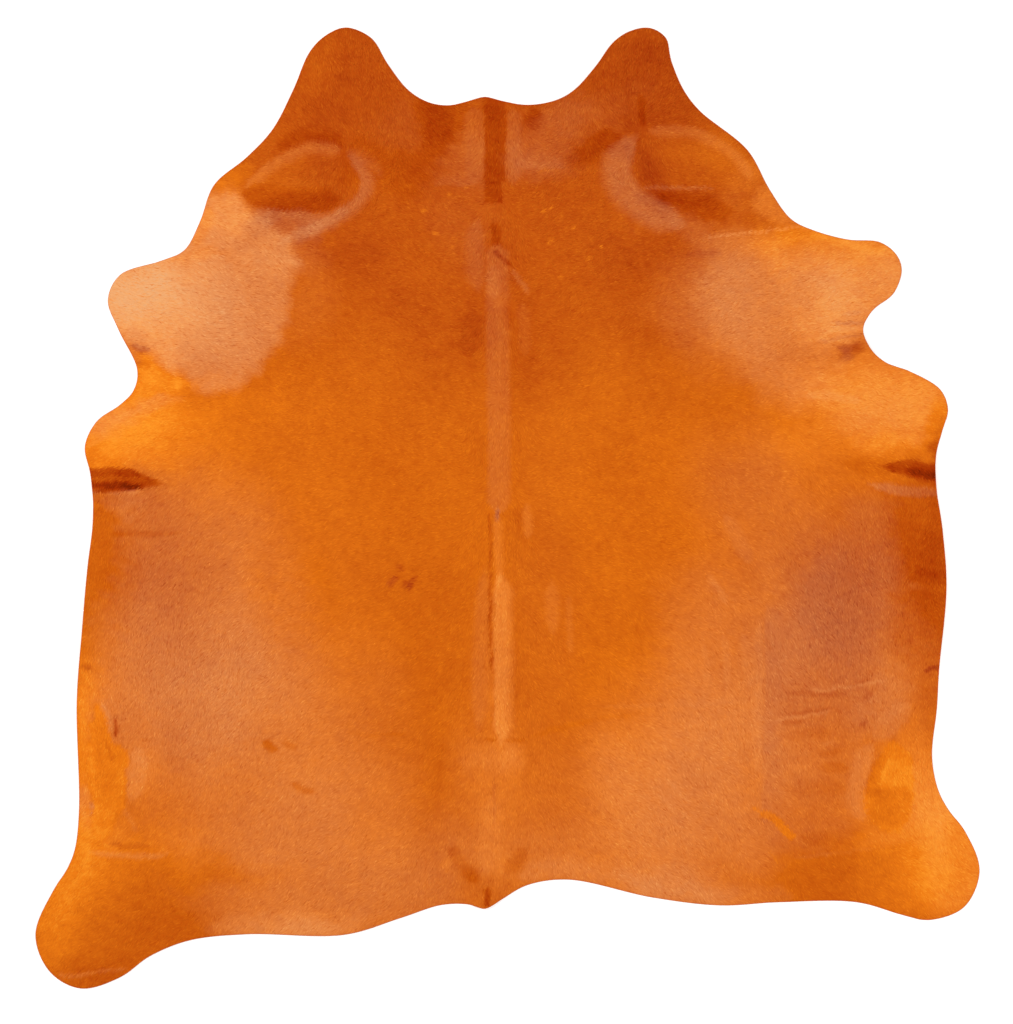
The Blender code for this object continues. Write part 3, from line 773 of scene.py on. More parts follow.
    ("right thigh, slash's start", ((543, -673), (561, -677), (577, -686)), 3, 3, 3, 11, -0.14, -0.08),
    ("right thigh, small slash", ((588, -770), (597, -785), (609, -801)), 2, 3, 3, 9, -0.1, -0.02, 0.1),
    # The thigh's wrinkles are painted highlights on their raised lines with painted shadow at their
    # foot and brow, and its bands and pleat are painted shade in pressed-in lines.
    ("right thigh, wrinkle", ((600, -479), (636, -472), (685, -464), (730, -457)), 2, 3, 3, 18, -0.07,
     0.09, 0.3),
    ("right thigh, wrinkle's foot", ((611, -484), (638, -482), (669, -477)), 3, 3, 6, 14, 0.09, -0.05,
     -0.3),
    ("right thigh, wrinkle's brow", ((624, -466), (663, -461), (717, -454), (755, -457)), 2, 4, 2, 14,
     0.09, -0.05, -0.3),
    ("right thigh, wrinkle high", ((672, -414), (726, -407), (793, -398), (856, -385)), 2, 3, 3, 22,
     -0.09, 0.1, 0.3),
    ("right thigh, wrinkle high's foot", ((622, -416), (663, -414), (712, -418), (766, -418)), 3, 3, 6,
     18, 0.1, -0.05, -0.3),
    ("right thigh, wrinkle high's brow", ((762, -403), (789, -394), (820, -382)), 3, 4, 2, 14, 0.08,
     -0.05, -0.2),
    ("right thigh, dark smear", ((822, -410), (809, -423), (800, -436)), 4, 7, 7, 9, 0.11, -0.05, -0.2),
    ("right thigh, wrinkle low", ((694, -556), (723, -551), (757, -544)), 3, 6, 6, 14, 0.07, -0.04,
     0.2),
    ("right thigh, pale fleck", ((708, -533), (723, -529), (739, -522)), 2, 4, 4, 9, -0.06, 0.06, 0.2),
    ("right thigh, band high", ((613, -515), (669, -508), (737, -502)), 7, 11, 11, 32, 0.05, -0.03,
     -0.2),
    ("right thigh, band middle", ((692, -585), (737, -583), (775, -587)), 7, 11, 11, 27, 0.05, -0.04,
     -0.2),
    ("right thigh, band low", ((609, -632), (692, -628), (771, -634)), 9, 14, 14, 36, 0.05, -0.03,
     -0.2),
    ("right thigh, dark pleat", ((809, -470), (802, -484), (793, -497)), 4, 6, 6, 9, 0.1, -0.04, -0.2),
    ("right flank, crisp border", ((582, -207), (582, -410), (577, -567), (575, -724)), 2, 58, 3, 45,
     0.06, 0.03),
    ("right flank, pale verge", ((568, -230), (568, -410), (564, -612)), 4, 3, 22, 68, -0.03, 0.05),
))


# ---------------------------------------------------------------- the hide's fields


@dataclass
class DyeShadingAndSheenMap:
    """The dye, painted shade, highlights and sheen, and lift: areas, patches and strokes on an even
    ground.
    """

    areas: tuple[Area, ...] = AREAS
    patches: tuple[Patch, ...] = PATCHES
    strokes: tuple[Stroke, ...] = STROKES
    even_dye: float = 0.38
    drift: float = 0.014
    drift_size: float = 0.21
    drift_seed: int = 3
    patch_wander: tuple[Wander, ...] = (Wander(0.011, 0.17, 11, 13), Wander(0.004, 0.035, 12, 14))
    area_wander: tuple[Wander, ...] = (Wander(0.003, 0.06, 17, 19), Wander(0.0015, 0.02, 18, 20))
    stroke_wander: tuple[Wander, ...] = (Wander(0.0008, 0.05, 15, 16),)

    def read(self, across: np.ndarray, along: np.ndarray) -> tuple[np.ndarray, ...]:
        """Adds up the rows at each place.

        Patches are read at places that wander by a wide and a fine ripple, so that their edges
        run unevenly, areas at places that rag their borders, and strokes at places that wander by
        a hair's breadth.

        Args:
            across: Places across, in metres.
            along: Places along, in metres.

        Returns:
            Depth of the dye with painted shade and highlights, painted sheen of the hair, and lift of
            the skin in metres, at each place.
        """
        dye_and_shading = self.even_dye + self.drift * ripples(across, along, self.drift_size, self.drift_seed)
        painted_sheen = np.zeros_like(across)
        lift = np.zeros_like(across)
        for rows, wanders in ((self.patches, self.patch_wander), (self.areas, self.area_wander),
                              (self.strokes, self.stroke_wander)):
            east, north = astray(across, along, wanders)
            for row in rows:
                near = row.near(east, north)
                mask = row.mask(east[near], north[near])
                # The first field is the dye with painted shade and painted highlights added in, the
                # second a painted sheen.
                dye_and_shading[near] += row.dye_and_shading * mask
                painted_sheen[near] += row.painted_sheen * mask
                lift[near] += row.lift * MM * mask
        return np.clip(dye_and_shading, 0.0, 1.0), np.clip(painted_sheen, 0.0, 1.0), lift


@dataclass
class SkinShape:
    """Heights of the skin: the folds that lift it whole, and the small relief of its hair side."""

    dye_shading_and_sheen_map: DyeShadingAndSheenMap
    folds: tuple[Fold, ...] = FOLDS
    leather: float = 0.0026
    cockle: float = 0.00012
    cockle_size: float = 0.09
    cockle_seed: int = 21

    def underside(self, across: np.ndarray, along: np.ndarray) -> np.ndarray:
        """The sum of the folds' lifts, so that the skin lies on the floor between them."""
        return sum(fold.lift(across, along) for fold in self.folds)

    def hair_side(self, across: np.ndarray, along: np.ndarray, lift: np.ndarray) -> np.ndarray:
        """Adds the leather's thickness, the map's lift and a slight cockling to the underside.

        Args:
            across: Places across, in metres.
            along: Places along, in metres.
            lift: How far the map raises each place, in metres.

        Returns:
            The height of the hair side at each place, in metres.
        """
        cockled = self.cockle * ripples(across, along, self.cockle_size, self.cockle_seed)
        return self.underside(across, along) + self.leather + lift + cockled


class KnifeCut:
    """The outline of the hide, read from the frame's solid and smoothed between its corners.

    The loop starts at the lower left, and it overlaps itself by a few corners while it is smoothed.
    """

    start: float = -0.75 * math.pi
    overlap: int = 3
    steps: int = 8
    level: float = 0.5
    downward: float = -0.7
    merged_decimals: int = 5

    def __init__(self, node: bpy.types.Object, samples: int = 6000) -> None:
        """Finds the foot of the solid's wall and runs a smooth closed curve through it.

        Args:
            node: The frame's solid, a mesh of loose triangles.
            samples: Places on the curve, evenly spaced.
        """
        corners = self.wall_foot(node)
        turns = np.arctan2(corners[:, 1], corners[:, 0])
        loop = corners[np.argsort((turns - self.start) % math.tau)]
        wrapped = np.vstack([loop[-self.overlap:], loop, loop[:self.overlap + 1]])
        spare = self.overlap * self.steps
        curve = smooth_path(wrapped, self.steps)[spare:-spare]
        walked = np.concatenate([[0.0], np.cumsum(np.hypot(*np.diff(curve, axis=0).T))])
        even = np.linspace(0.0, walked[-1], samples + 1)[:-1]
        self.curve = np.stack([np.interp(even, walked, curve[:, axis]) for axis in (0, 1)], axis=1)
        self.length = float(walked[-1])
        slope = np.roll(self.curve, -1, axis=0) - np.roll(self.curve, 1, axis=0)
        slope /= np.hypot(slope[:, 0], slope[:, 1])[:, None]
        self.inward = np.stack([-slope[:, 1], slope[:, 0]], axis=1)
        turned = np.arctan2(self.curve[:, 1], self.curve[:, 0])
        by_turn = np.argsort(turned)
        self.turns = turned[by_turn]
        self.reach = np.hypot(self.curve[:, 0], self.curve[:, 1])[by_turn]
        self.facing = -np.sum(self.curve * self.inward, axis=1)[by_turn] / self.reach

    @classmethod
    def wall_foot(cls, node: bpy.types.Object) -> np.ndarray:
        """Places of the corners that the solid's wall shares with its underside.

        A triangle whose normal is nearly level is of the wall, and one whose normal points down
        is of the underside.

        Args:
            node: The frame's solid.

        Returns:
            Places across and along, one row each, in no order.
        """
        mesh = node.data
        mesh.calc_loop_triangles()
        places = np.empty(len(mesh.vertices) * 3)
        mesh.vertices.foreach_get("co", places)
        faces = np.empty(len(mesh.loop_triangles) * 3, np.int32)
        mesh.loop_triangles.foreach_get("vertices", faces)
        ends = places.reshape(-1, 3)[faces.reshape(-1, 3)]
        normals = np.cross(ends[:, 1] - ends[:, 0], ends[:, 2] - ends[:, 0])
        normals /= np.linalg.norm(normals, axis=1)[:, None]
        flat = np.round(ends[:, :, :2], cls.merged_decimals)
        keys = flat[:, :, 0] + 1j * flat[:, :, 1]
        shared = np.intersect1d(keys[np.abs(normals[:, 2]) < cls.level],
                                keys[normals[:, 2] < cls.downward])
        return np.stack([shared.real, shared.imag], axis=1)

    def at(self, share: np.ndarray, inset: float) -> np.ndarray:
        """Places on the outline at shares of its length, moved inwards by the inset."""
        number = np.round(share * len(self.curve)).astype(int) % len(self.curve)
        return self.curve[number] + inset * self.inward[number]

    def depth(self, across: np.ndarray, along: np.ndarray) -> np.ndarray:
        """How far inside the cut each place is.

        It is how much further the outline reaches on the same heading from the middle, times how
        squarely the outline faces that heading.

        Args:
            across: Places across, in metres.
            along: Places along, in metres.

        Returns:
            Depths in metres, below zero outside.
        """
        turned = np.arctan2(along, across)
        reach = np.interp(turned, self.turns, self.reach, period=math.tau)
        facing = np.interp(turned, self.turns, self.facing, period=math.tau)
        return (reach - np.hypot(across, along)) * facing

    def rim(self, across: np.ndarray, along: np.ndarray) -> np.ndarray:
        """One at the cut, easing to nothing over the rim's width."""
        return 1.0 - smooth_step(self.depth(across, along) / RIM_WIDTH)


# ---------------------------------------------------------------- the skin


def make_piece(name: str, places: np.ndarray, faces: list[np.ndarray], sides: list[int],
               values: dict[str, np.ndarray], maps: dict[str, np.ndarray],
               smooth: bool) -> bpy.types.Object:
    """Puts whole arrays of places and faces into a new mesh object at the origin.

    Args:
        name: Name of the piece.
        places: Corner places, one row each.
        faces: Arrays of faces, each with its corner numbers in a row.
        sides: Material slot of each array of faces.
        values: Numbers carried on the corners, by attribute name.
        maps: Places on flat maps, one row for each corner of each face, by map name.
        smooth: True for smooth shading.

    Returns:
        The object, linked to the scene.
    """
    mesh = bpy.data.meshes.new(name)
    corners = np.concatenate([rows.ravel() for rows in faces]).astype(np.int32)
    widths = np.concatenate([np.full(len(rows), rows.shape[1]) for rows in faces])
    mesh.vertices.add(len(places))
    mesh.vertices.foreach_set("co", places.astype(np.float32).ravel())
    mesh.loops.add(len(corners))
    mesh.loops.foreach_set("vertex_index", corners)
    mesh.polygons.add(len(widths))
    starts = np.concatenate([[0], np.cumsum(widths)[:-1]]).astype(np.int32)
    mesh.polygons.foreach_set("loop_start", starts)
    slots = np.concatenate([np.full(len(rows), side) for rows, side in zip(faces, sides)])
    mesh.polygons.foreach_set("material_index", slots.astype(np.int32))
    mesh.polygons.foreach_set("use_smooth", np.full(len(widths), smooth))
    for label, flat in maps.items():
        mesh.uv_layers.new(name=label).data.foreach_set("uv", flat.astype(np.float32).ravel())
    for label, numbers in values.items():
        layer = mesh.attributes.new(label, "FLOAT", "POINT")
        layer.data.foreach_set("value", numbers.astype(np.float32))
    mesh.update(calc_edges=True)
    piece = bpy.data.objects.new(name, mesh)
    bpy.context.scene.collection.objects.link(piece)
    return piece


def square_net(cells: int) -> tuple[np.ndarray, np.ndarray]:
    """Lays a square net that is drawn out to a round outline.

    On the square from -1 to 1, the share out is the greater of a knot's two sizes, and the share
    round is how far along the square's rim the ray through the knot lands, counterclockwise from
    the lower left corner.

    Args:
        cells: Cells along a side.

    Returns:
        Shares out and round, each a square array over the knots.
    """
    ticks = np.linspace(-1.0, 1.0, cells + 1)
    right, up = np.meshgrid(ticks, ticks, indexing="ij")
    out = np.maximum(np.abs(right), np.abs(up))
    on_right, on_up = (side / np.where(out > 0.0, out, 1.0) for side in (right, up))
    close = 1.0 - 1e-9
    around = np.select([on_up <= -close, on_right >= close, on_up >= close],
                       [(on_right + 1.0) / 8.0, 0.25 + (on_up + 1.0) / 8.0,
                        0.5 + (1.0 - on_right) / 8.0],
                       0.75 + (1.0 - on_up) / 8.0)
    return out, around


def net_knots(cells: int, first: int) -> np.ndarray:
    """Numbers of a square net's knots, counted from first."""
    return first + np.arange((cells + 1) ** 2).reshape(cells + 1, cells + 1)


def net_faces(cells: int, first: int, upward: bool) -> np.ndarray:
    """Four-cornered faces of a square net.

    Args:
        cells: Cells along a side.
        first: Number of the net's first corner.
        upward: Whether the faces look up.

    Returns:
        The corner numbers of each face, one row each.
    """
    knots = net_knots(cells, first)
    ring = (knots[:-1, :-1], knots[1:, :-1], knots[1:, 1:], knots[:-1, 1:])
    faces = np.stack([corner.ravel() for corner in ring], axis=1)
    return faces if upward else faces[:, ::-1]


def net_rim(cells: int, first: int) -> np.ndarray:
    """Numbers of the knots round a square net's rim, counterclockwise from the lower left."""
    knots = net_knots(cells, first)
    return np.concatenate([knots[:-1, 0], knots[-1, :-1], knots[:0:-1, -1], knots[0, :0:-1]])


@dataclass
class Skin:
    """The skin: one closed sheet with a hair side, a rounded cut edge and a flesh side."""

    cut: KnifeCut
    shape: SkinShape
    name: str = "hide_sheet"
    hair_cells: int = 272
    flesh_cells: int = 136
    edge_round: tuple[tuple[float, float], ...] = ((0.00030, 0.85), (0.0, 0.5), (0.00030, 0.15))
    edge_inset: float = 0.0010
    hair_tile: float = 0.66
    flesh_tile: float = 0.33
    rim_tile: tuple[float, float] = (0.68, 0.72)

    def knots(self, cells: int) -> np.ndarray:
        """Places of a net's knots: the share out times the outline's place at the share round."""
        out, around = square_net(cells)
        return out.reshape(-1, 1) * self.cut.at(around.ravel(), self.edge_inset)

    def build(self) -> bpy.types.Object:
        """Makes the sheet's mesh.

        The hair side is a square net drawn out to the cut, at the hair side's height. Loops round
        the cut step in and down along a rounded edge. The flesh side is a net of half as many
        cells at the underside's height, stitched to the last loop with three triangles a cell.

        Returns:
            The sheet, not yet dressed.
        """
        hair = self.knots(self.hair_cells)
        flesh = self.knots(self.flesh_cells)
        rim_count = 4 * self.hair_cells
        shares = np.arange(rim_count) / rim_count
        flats = [hair, *(self.cut.at(shares, inset) for inset, _ in self.edge_round), flesh]
        ground = np.vstack(flats)
        # The first two fields are the dye with painted shade and painted highlights in it, and a
        # painted sheen.
        dye_and_shading, painted_sheen, lift = self.shape.dye_shading_and_sheen_map.read(ground[:, 0], ground[:, 1])
        top = self.shape.hair_side(ground[:, 0], ground[:, 1], lift)
        foot = self.shape.underside(ground[:, 0], ground[:, 1])
        level = np.concatenate([np.ones(len(hair)),
                                *(np.full(rim_count, share) for _, share in self.edge_round),
                                np.zeros(len(flesh))])
        places = np.column_stack([ground, foot + (top - foot) * level])
        loops = [net_rim(self.hair_cells, 0)]
        loops += [len(hair) + number * rim_count + np.arange(rim_count)
                  for number in range(len(self.edge_round))]
        edge = [np.stack([upper, lower, np.roll(lower, -1), np.roll(upper, -1)], axis=1)
                for upper, lower in zip(loops, loops[1:])]
        first_flesh = len(places) - len(flesh)
        stitches = self.stitch(loops[-1], net_rim(self.flesh_cells, first_flesh))
        faces = [net_faces(self.hair_cells, 0, True), *edge, stitches,
                 net_faces(self.flesh_cells, first_flesh, False)]
        sides = [Side.HAIR.value, *[Side.CUT.value] * (len(edge) + 1), Side.FLESH.value]
        values = {"dye_and_shading": dye_and_shading, "painted_sheen": painted_sheen, "rim": self.cut.rim(*ground.T)}
        return make_piece(self.name, places, faces, sides, values,
                          {"OFBake": self.flat_map(places, faces)}, True)

    @staticmethod
    def stitch(upper: np.ndarray, lower: np.ndarray) -> np.ndarray:
        """Joins a loop to one of half as many corners.

        Each lower corner stands under every second upper one, and three triangles fill the gap
        from one lower corner to the next.

        Args:
            upper: Corner numbers of the fuller loop.
            lower: Corner numbers of the sparser loop.

        Returns:
            The triangles, one row each.
        """
        here, between, there = upper[0::2], upper[1::2], np.roll(upper[0::2], -1)
        under, next_under = lower, np.roll(lower, -1)
        return np.concatenate([np.stack([here, under, between], axis=1),
                               np.stack([between, under, next_under], axis=1),
                               np.stack([between, next_under, there], axis=1)])

    def flat_map(self, places: np.ndarray, faces: list[np.ndarray]) -> np.ndarray:
        """Lays the hair side, the cut edge and the flesh side beside each other on one flat map.

        The two sides are mapped straight down, and the edge is a strip whose place is the share
        round the cut and the step down the edge.

        Args:
            places: Corner places of the sheet.
            faces: The arrays of faces: hair side first, flesh side last, edge between.

        Returns:
            A map place for each corner of each face.
        """
        low, high = places[:, :2].min(axis=0), places[:, :2].max(axis=0)
        flat = (places[:, :2] - low) / (high - low)
        edge_low, edge_high = self.rim_tile
        bands = np.linspace(edge_high, edge_low, len(faces) - 1)
        maps = [self.hair_tile * flat[faces[0].ravel()]]
        for band, rows in enumerate(faces[1:-1]):
            count = 4 * self.hair_cells
            if rows.shape[1] == 4:
                left = np.arange(len(rows)) / count
                right = left + 1.0 / count
                east = np.stack([left, left, right, right], axis=1)
                north = np.broadcast_to([bands[band], bands[band + 1], bands[band + 1], bands[band]],
                                        east.shape)
            else:
                cell = np.arange(len(rows) // 3) * 2.0 / count
                ends = ((0, 0, 1), (1, 0, 2), (1, 2, 2))
                levels = ((0, 1, 0), (0, 1, 1), (0, 1, 0))
                east = np.concatenate([cell[:, None] + np.array(row) / count for row in ends])
                drop = bands[band + 1] - bands[band]
                north = np.concatenate([np.broadcast_to(bands[band] + drop * np.array(row),
                                                        (len(cell), 3)) for row in levels])
            maps.append(np.stack([east.ravel(), north.ravel()], axis=1))
        shift = np.array([1.0 - self.flesh_tile, 0.0])
        maps.append(shift + self.flesh_tile * flat[faces[-1].ravel()])
        return np.concatenate(maps)

    def dress(self, piece: bpy.types.Object, finishes: list[bpy.types.Material],
              coat: list[bpy.types.Object], floor: bpy.types.Object) -> None:
        """Gives the sheet its finishes, hangs it on the hide's body and hides the solid that it stands
        for.

        Args:
            piece: The sheet.
            finishes: Materials in the order of the sides.
            coat: Hair pieces that lie on it; not used.
            floor: What it rests on; not used.
        """
        for finish in finishes:
            piece.data.materials.append(finish)
        claim(piece)


def claim(piece: bpy.types.Object) -> None:
    """Lets a piece ride on the hide's body and stand for its solid, whose part it hides.

    Args:
        piece: A piece of the hide.
    """
    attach(piece, BODY)
    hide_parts(NODE)


# ---------------------------------------------------------------- the coat


@dataclass(frozen=True)
class LayStation:
    """Where hair was combed along a heading, in millimetres and degrees."""

    place: str
    across: float
    along: float
    heading: float
    reach: float


@dataclass(frozen=True)
class Whorl:
    """A crown that hair turns out of, in millimetres; spin is how far it swirls, in degrees."""

    place: str
    across: float
    along: float
    reach: float
    spin: float


# Columns: place, across, along, heading, reach.
LAY = (
    LayStation("spine, neck", -17, 820, 270, 70),
    LayStation("spine, withers", -17, 600, 270, 55),
    LayStation("spine, back", -17, 380, 270, 50),
    LayStation("spine, middle", -17, 150, 270, 50),
    LayStation("spine, loin", -17, -80, 270, 55),
    LayStation("spine, rump", -17, -310, 270, 65),
    LayStation("spine, tail", -17, -560, 270, 90),
    LayStation("spine, tail root", -17, -800, 270, 120),
    LayStation("nape", 150, 800, 35, 130),
    LayStation("cheek", 320, 980, 84, 150),
    LayStation("crest", 300, 620, 14, 190),
    LayStation("withers", 200, 420, 12, 200),
    LayStation("back", 280, 160, 0, 210),
    LayStation("saddle", 280, -90, 350, 210),
    LayStation("loin", 260, -340, 322, 210),
    LayStation("rump", 230, -640, 320, 220),
    LayStation("shoulder", 620, 430, 14, 200),
    LayStation("foreleg", 840, 480, 8, 150),
    LayStation("elbow", 800, 220, 350, 150),
    LayStation("ribs", 560, -60, 330, 180),
    LayStation("flank", 800, -150, 285, 200),
    LayStation("belly edge", 940, -60, 245, 90),
    LayStation("thigh", 640, -520, 302, 220),
    LayStation("stifle", 850, -480, 268, 180),
    LayStation("hind leg", 900, -820, 318, 170),
)

# Columns: place, across, along, reach, spin.
WHORLS = (
    Whorl("left crown", -370, 798, 120, 24),
    Whorl("right crown", 305, 857, 120, -24),
)


@dataclass
class HairLay:
    """The way the hair lies: stations of the right half, mirrored about the spine, and whorls."""

    stations: tuple[LayStation, ...] = LAY
    whorls: tuple[Whorl, ...] = WHORLS
    whorl_pull: float = 3.0
    sway: float = 9.0
    sway_size: float = 0.11
    sway_seed: int = 31

    def heading(self, across: np.ndarray, along: np.ndarray) -> np.ndarray:
        """Blends the stations' headings and swings them round the whorls.

        Each station pulls its way with a bell-shaped weight over its reach, and each whorl pulls
        straight out of its crown, swirled by its spin. A slow ripple sways the sum.

        Args:
            across: Places across, in metres.
            along: Places along, in metres.

        Returns:
            Headings in radians.
        """
        east, north = np.zeros_like(across), np.zeros_like(across)
        spine = SPINE_ACROSS * MM
        for station in self.stations:
            for side in (1.0, -1.0):
                off = side * (across - spine) - (station.across * MM - spine)
                rise = along - station.along * MM
                pull = np.exp(-(off**2 + rise**2) / (station.reach * MM) ** 2)
                turn = math.radians(station.heading)
                east += pull * side * math.cos(turn)
                north += pull * math.sin(turn)
        size = np.maximum(np.hypot(east, north), 1e-9)
        east, north = east / size, north / size
        for whorl in self.whorls:
            off, rise = across - whorl.across * MM, along - whorl.along * MM
            far = np.maximum(np.hypot(off, rise), 1e-6)
            pull = self.whorl_pull * np.exp(-((far / (whorl.reach * MM)) ** 2))
            turn = np.arctan2(rise, off) + math.radians(whorl.spin)
            east += pull * np.cos(turn)
            north += pull * np.sin(turn)
        swayed = math.radians(self.sway) * ripples(across, along, self.sway_size, self.sway_seed)
        return np.arctan2(north, east) + swayed


@dataclass
class HairCoat:
    """The coat: closed four-faced tufts, each a low ridge that rises out of the skin to a tip."""

    cut: KnifeCut
    shape: SkinShape
    lay: HairLay
    regions: tuple[str, ...] = ("hair_rump", "hair_loin", "hair_back", "hair_shoulders", "hair_neck")
    spacing: float = 0.00442
    length: tuple[float, float] = (0.0085, 0.0135)
    width: tuple[float, float] = (0.0021, 0.0031)
    widest: float = 0.38
    root_height: float = 0.00005
    side_sink: float = 0.00010
    tip_height: tuple[float, float] = (0.00040, 0.00070)
    edge_gap: float = 0.0016
    cut_back: float = 1.15
    shortest: float = 0.3
    comb_scatter: float = 13.0
    colour_hold: float = 0.45
    stray: float = 0.0018
    seed: int = 41

    def roots(self, rng: np.random.Generator) -> np.ndarray:
        """Places the roots on a lattice of equal triangles, jittered by a third of its spacing.

        Args:
            rng: The coat's source of random draws.

        Returns:
            Places across and along that are inside the cut, one row each.
        """
        low, high = self.cut.curve.min(axis=0), self.cut.curve.max(axis=0)
        row_step = self.spacing * math.sqrt(3.0) / 2.0
        rows = np.arange(low[1], high[1], row_step)
        columns = np.arange(low[0], high[0], self.spacing)
        along, across = np.meshgrid(rows, columns, indexing="ij")
        across = across + (np.arange(len(rows)) % 2)[:, None] * self.spacing / 2.0
        places = np.stack([across.ravel(), along.ravel()], axis=1)
        places += rng.uniform(-self.spacing / 3.0, self.spacing / 3.0, places.shape)
        return places[self.cut.depth(places[:, 0], places[:, 1]) > self.edge_gap]

    def build(self) -> list[bpy.types.Object]:
        """Makes the tufts and parts them into regions from the rump to the neck.

        A tuft's root is on the skin, its two sides are sunk a little at its widest, and its tip
        stands clear; on a steep place its sides are held below its ridge. A tuft that would pass
        the cut is shortened by what it passes times the cut back, and one that gets too short or
        still reaches the cut is dropped. A tuft takes its colour near its middle, a little astray,
        so that borders between colours are ragged with hair.

        Returns:
            One piece for each region, not yet dressed.
        """
        rng = np.random.default_rng(self.seed)
        roots = self.roots(rng)
        count = len(roots)
        length = rng.uniform(*self.length, count)
        width = rng.uniform(*self.width, count)
        tip_height = rng.uniform(*self.tip_height, count)
        tone = rng.normal(0.0, 1.0, count)
        turn = self.lay.heading(roots[:, 0], roots[:, 1])
        turn += np.radians(self.comb_scatter) * rng.normal(0.0, 1.0, count)
        ahead = np.stack([np.cos(turn), np.sin(turn)], axis=1)
        aside = np.stack([-ahead[:, 1], ahead[:, 0]], axis=1)
        tips = roots + ahead * length[:, None]
        passed = np.clip(self.edge_gap - self.cut.depth(tips[:, 0], tips[:, 1]), 0.0, None)
        share = 1.0 - self.cut_back * passed / length
        length = length * np.clip(share, self.shortest, 1.0)
        tips = roots + ahead * length[:, None]
        kept = (share > self.shortest) & (self.cut.depth(tips[:, 0], tips[:, 1]) > self.edge_gap / 2.0)
        middle = roots + ahead * (length * self.widest)[:, None]
        half = aside * (width / 2.0)[:, None]
        corners = np.stack([roots, middle - half, tips, middle + half], axis=1)[kept]
        stand = np.stack([np.full(count, self.root_height), np.full(count, -self.side_sink),
                          tip_height, np.full(count, -self.side_sink)], axis=1)[kept]
        strayed = rng.normal(0.0, self.stray, (len(corners), 1, 2))
        centres = corners.mean(axis=1, keepdims=True)
        taken = centres + strayed + self.colour_hold * (corners - centres)
        # The first two fields are the dye with painted shade and painted highlights in it, and a
        # painted sheen.
        dye_and_shading, painted_sheen, _ = self.shape.dye_shading_and_sheen_map.read(taken[..., 0].ravel(), taken[..., 1].ravel())
        flat = corners.reshape(-1, 2)
        _, _, lift = self.shape.dye_shading_and_sheen_map.read(flat[:, 0], flat[:, 1])
        height = (self.shape.hair_side(flat[:, 0], flat[:, 1], lift) + stand.ravel()).reshape(-1, 4)
        ridge = (1.0 - self.widest) * height[:, :1] + self.widest * height[:, 2:3]
        height[:, 1::2] = np.minimum(height[:, 1::2], ridge - self.side_sink)
        places = np.column_stack([flat, height.ravel()]).reshape(-1, 4, 3)
        values = {"dye_and_shading": dye_and_shading.reshape(-1, 4), "painted_sheen": painted_sheen.reshape(-1, 4),
                  "rim": self.cut.rim(*flat.T).reshape(-1, 4),
                  "across": taken[..., 0], "along": taken[..., 1],
                  "tone": np.repeat(tone[kept], 4).reshape(-1, 4),
                  "reach": np.tile([0.0, self.widest, 1.0, self.widest], (len(places), 1))}
        order = np.argsort(places[:, 0, 1], kind="stable")
        parts = np.array_split(order, len(self.regions))
        return [self.tufts(name, places[part], {label: rows[part] for label, rows in values.items()})
                for name, part in zip(self.regions, parts)]

    def tufts(self, name: str, places: np.ndarray, values: dict[str, np.ndarray]) -> bpy.types.Object:
        """Joins tufts into one mesh.

        Args:
            name: Name of the piece.
            places: Root, right side, tip and left side of each tuft.
            values: Numbers carried on those corners, by attribute name.

        Returns:
            The piece.
        """
        first = 4 * np.arange(len(places))[:, None]
        faces = np.concatenate([first + row for row in ((0, 1, 2), (0, 2, 3), (0, 3, 1), (1, 3, 2))])
        flat = places.reshape(-1, 3)
        low, high = flat[:, :2].min(axis=0), flat[:, :2].max(axis=0)
        corners = faces.ravel()
        strand = np.tile([[0.5, 0.0], [1.0, self.widest], [0.5, 1.0], [0.0, self.widest]],
                         (len(places), 1))
        maps = {"OFBake": ((flat[:, :2] - low) / (high - low))[corners], "strand": strand[corners]}
        return make_piece(name, flat, [faces], [0],
                          {label: rows.ravel() for label, rows in values.items()}, maps, False)

    def dress(self, pieces: list[bpy.types.Object], finish: bpy.types.Material) -> None:
        """Gives every region the hair's finish, hangs it on the hide's body and hides the solid that it
        stands for.

        Args:
            pieces: The regions' pieces.
            finish: The hair's material.
        """
        for piece in pieces:
            piece.data.materials.append(finish)
            claim(piece)


# ---------------------------------------------------------------- finishes

Colour = tuple[int, int, int]
Feed = float | bpy.types.NodeSocket

# Light that a white face under the studio's lamps sends back, which the dye's colours are seen in.
STUDIO_GAIN = 1.1

# Depths of the dye, with painted shade and painted highlights added in, and their colours, from thin to
# soaked.
DYE_AND_SHADE_RAMP = (
    (0.0, (255, 154, 40)),
    (0.2, (238, 124, 20)),
    (0.4, (215, 103, 15)),
    (0.6, (193, 79, 8)),
    (0.8, (166, 50, 2)),
    (1.0, (118, 28, 0)),
)
# Pale colour of the painted sheen, where the hair lies towards the light.
PAINTED_SHEEN_COLOUR: Colour = (236, 172, 118)

# Scale and detail of each size of cloud.
MOTTLE_SIZES = {"Wide": (18.0, 1.0), "Middle": (42.0, 1.0), "Fine": (95.0, 2.0)}


@dataclass(frozen=True)
class Gloss:
    """The steady values of a surface shader: its shine and its sheen."""

    shine: float = 0.08
    shine_tint: tuple[int, int, int] = (255, 176, 96)
    sheen: float = 0.04
    sheen_roughness: float = 0.45
    sheen_tint: tuple[int, int, int] = (255, 190, 130)


def linear(colour: Colour, gain: float = 1.0) -> tuple[float, float, float, float]:
    """Turns a colour into light, by the usual screen curve, divided by the gain.

    Args:
        colour: Red, green and blue from 0 to 255.
        gain: Light that a white face sends back.

    Returns:
        Red, green and blue light, and one for opaque.
    """
    shares = np.array(colour) / 255.0
    light = np.where(shares <= 0.04045, shares / 12.92, ((shares + 0.055) / 1.055) ** 2.4) / gain
    return (*(float(part) for part in light), 1.0)


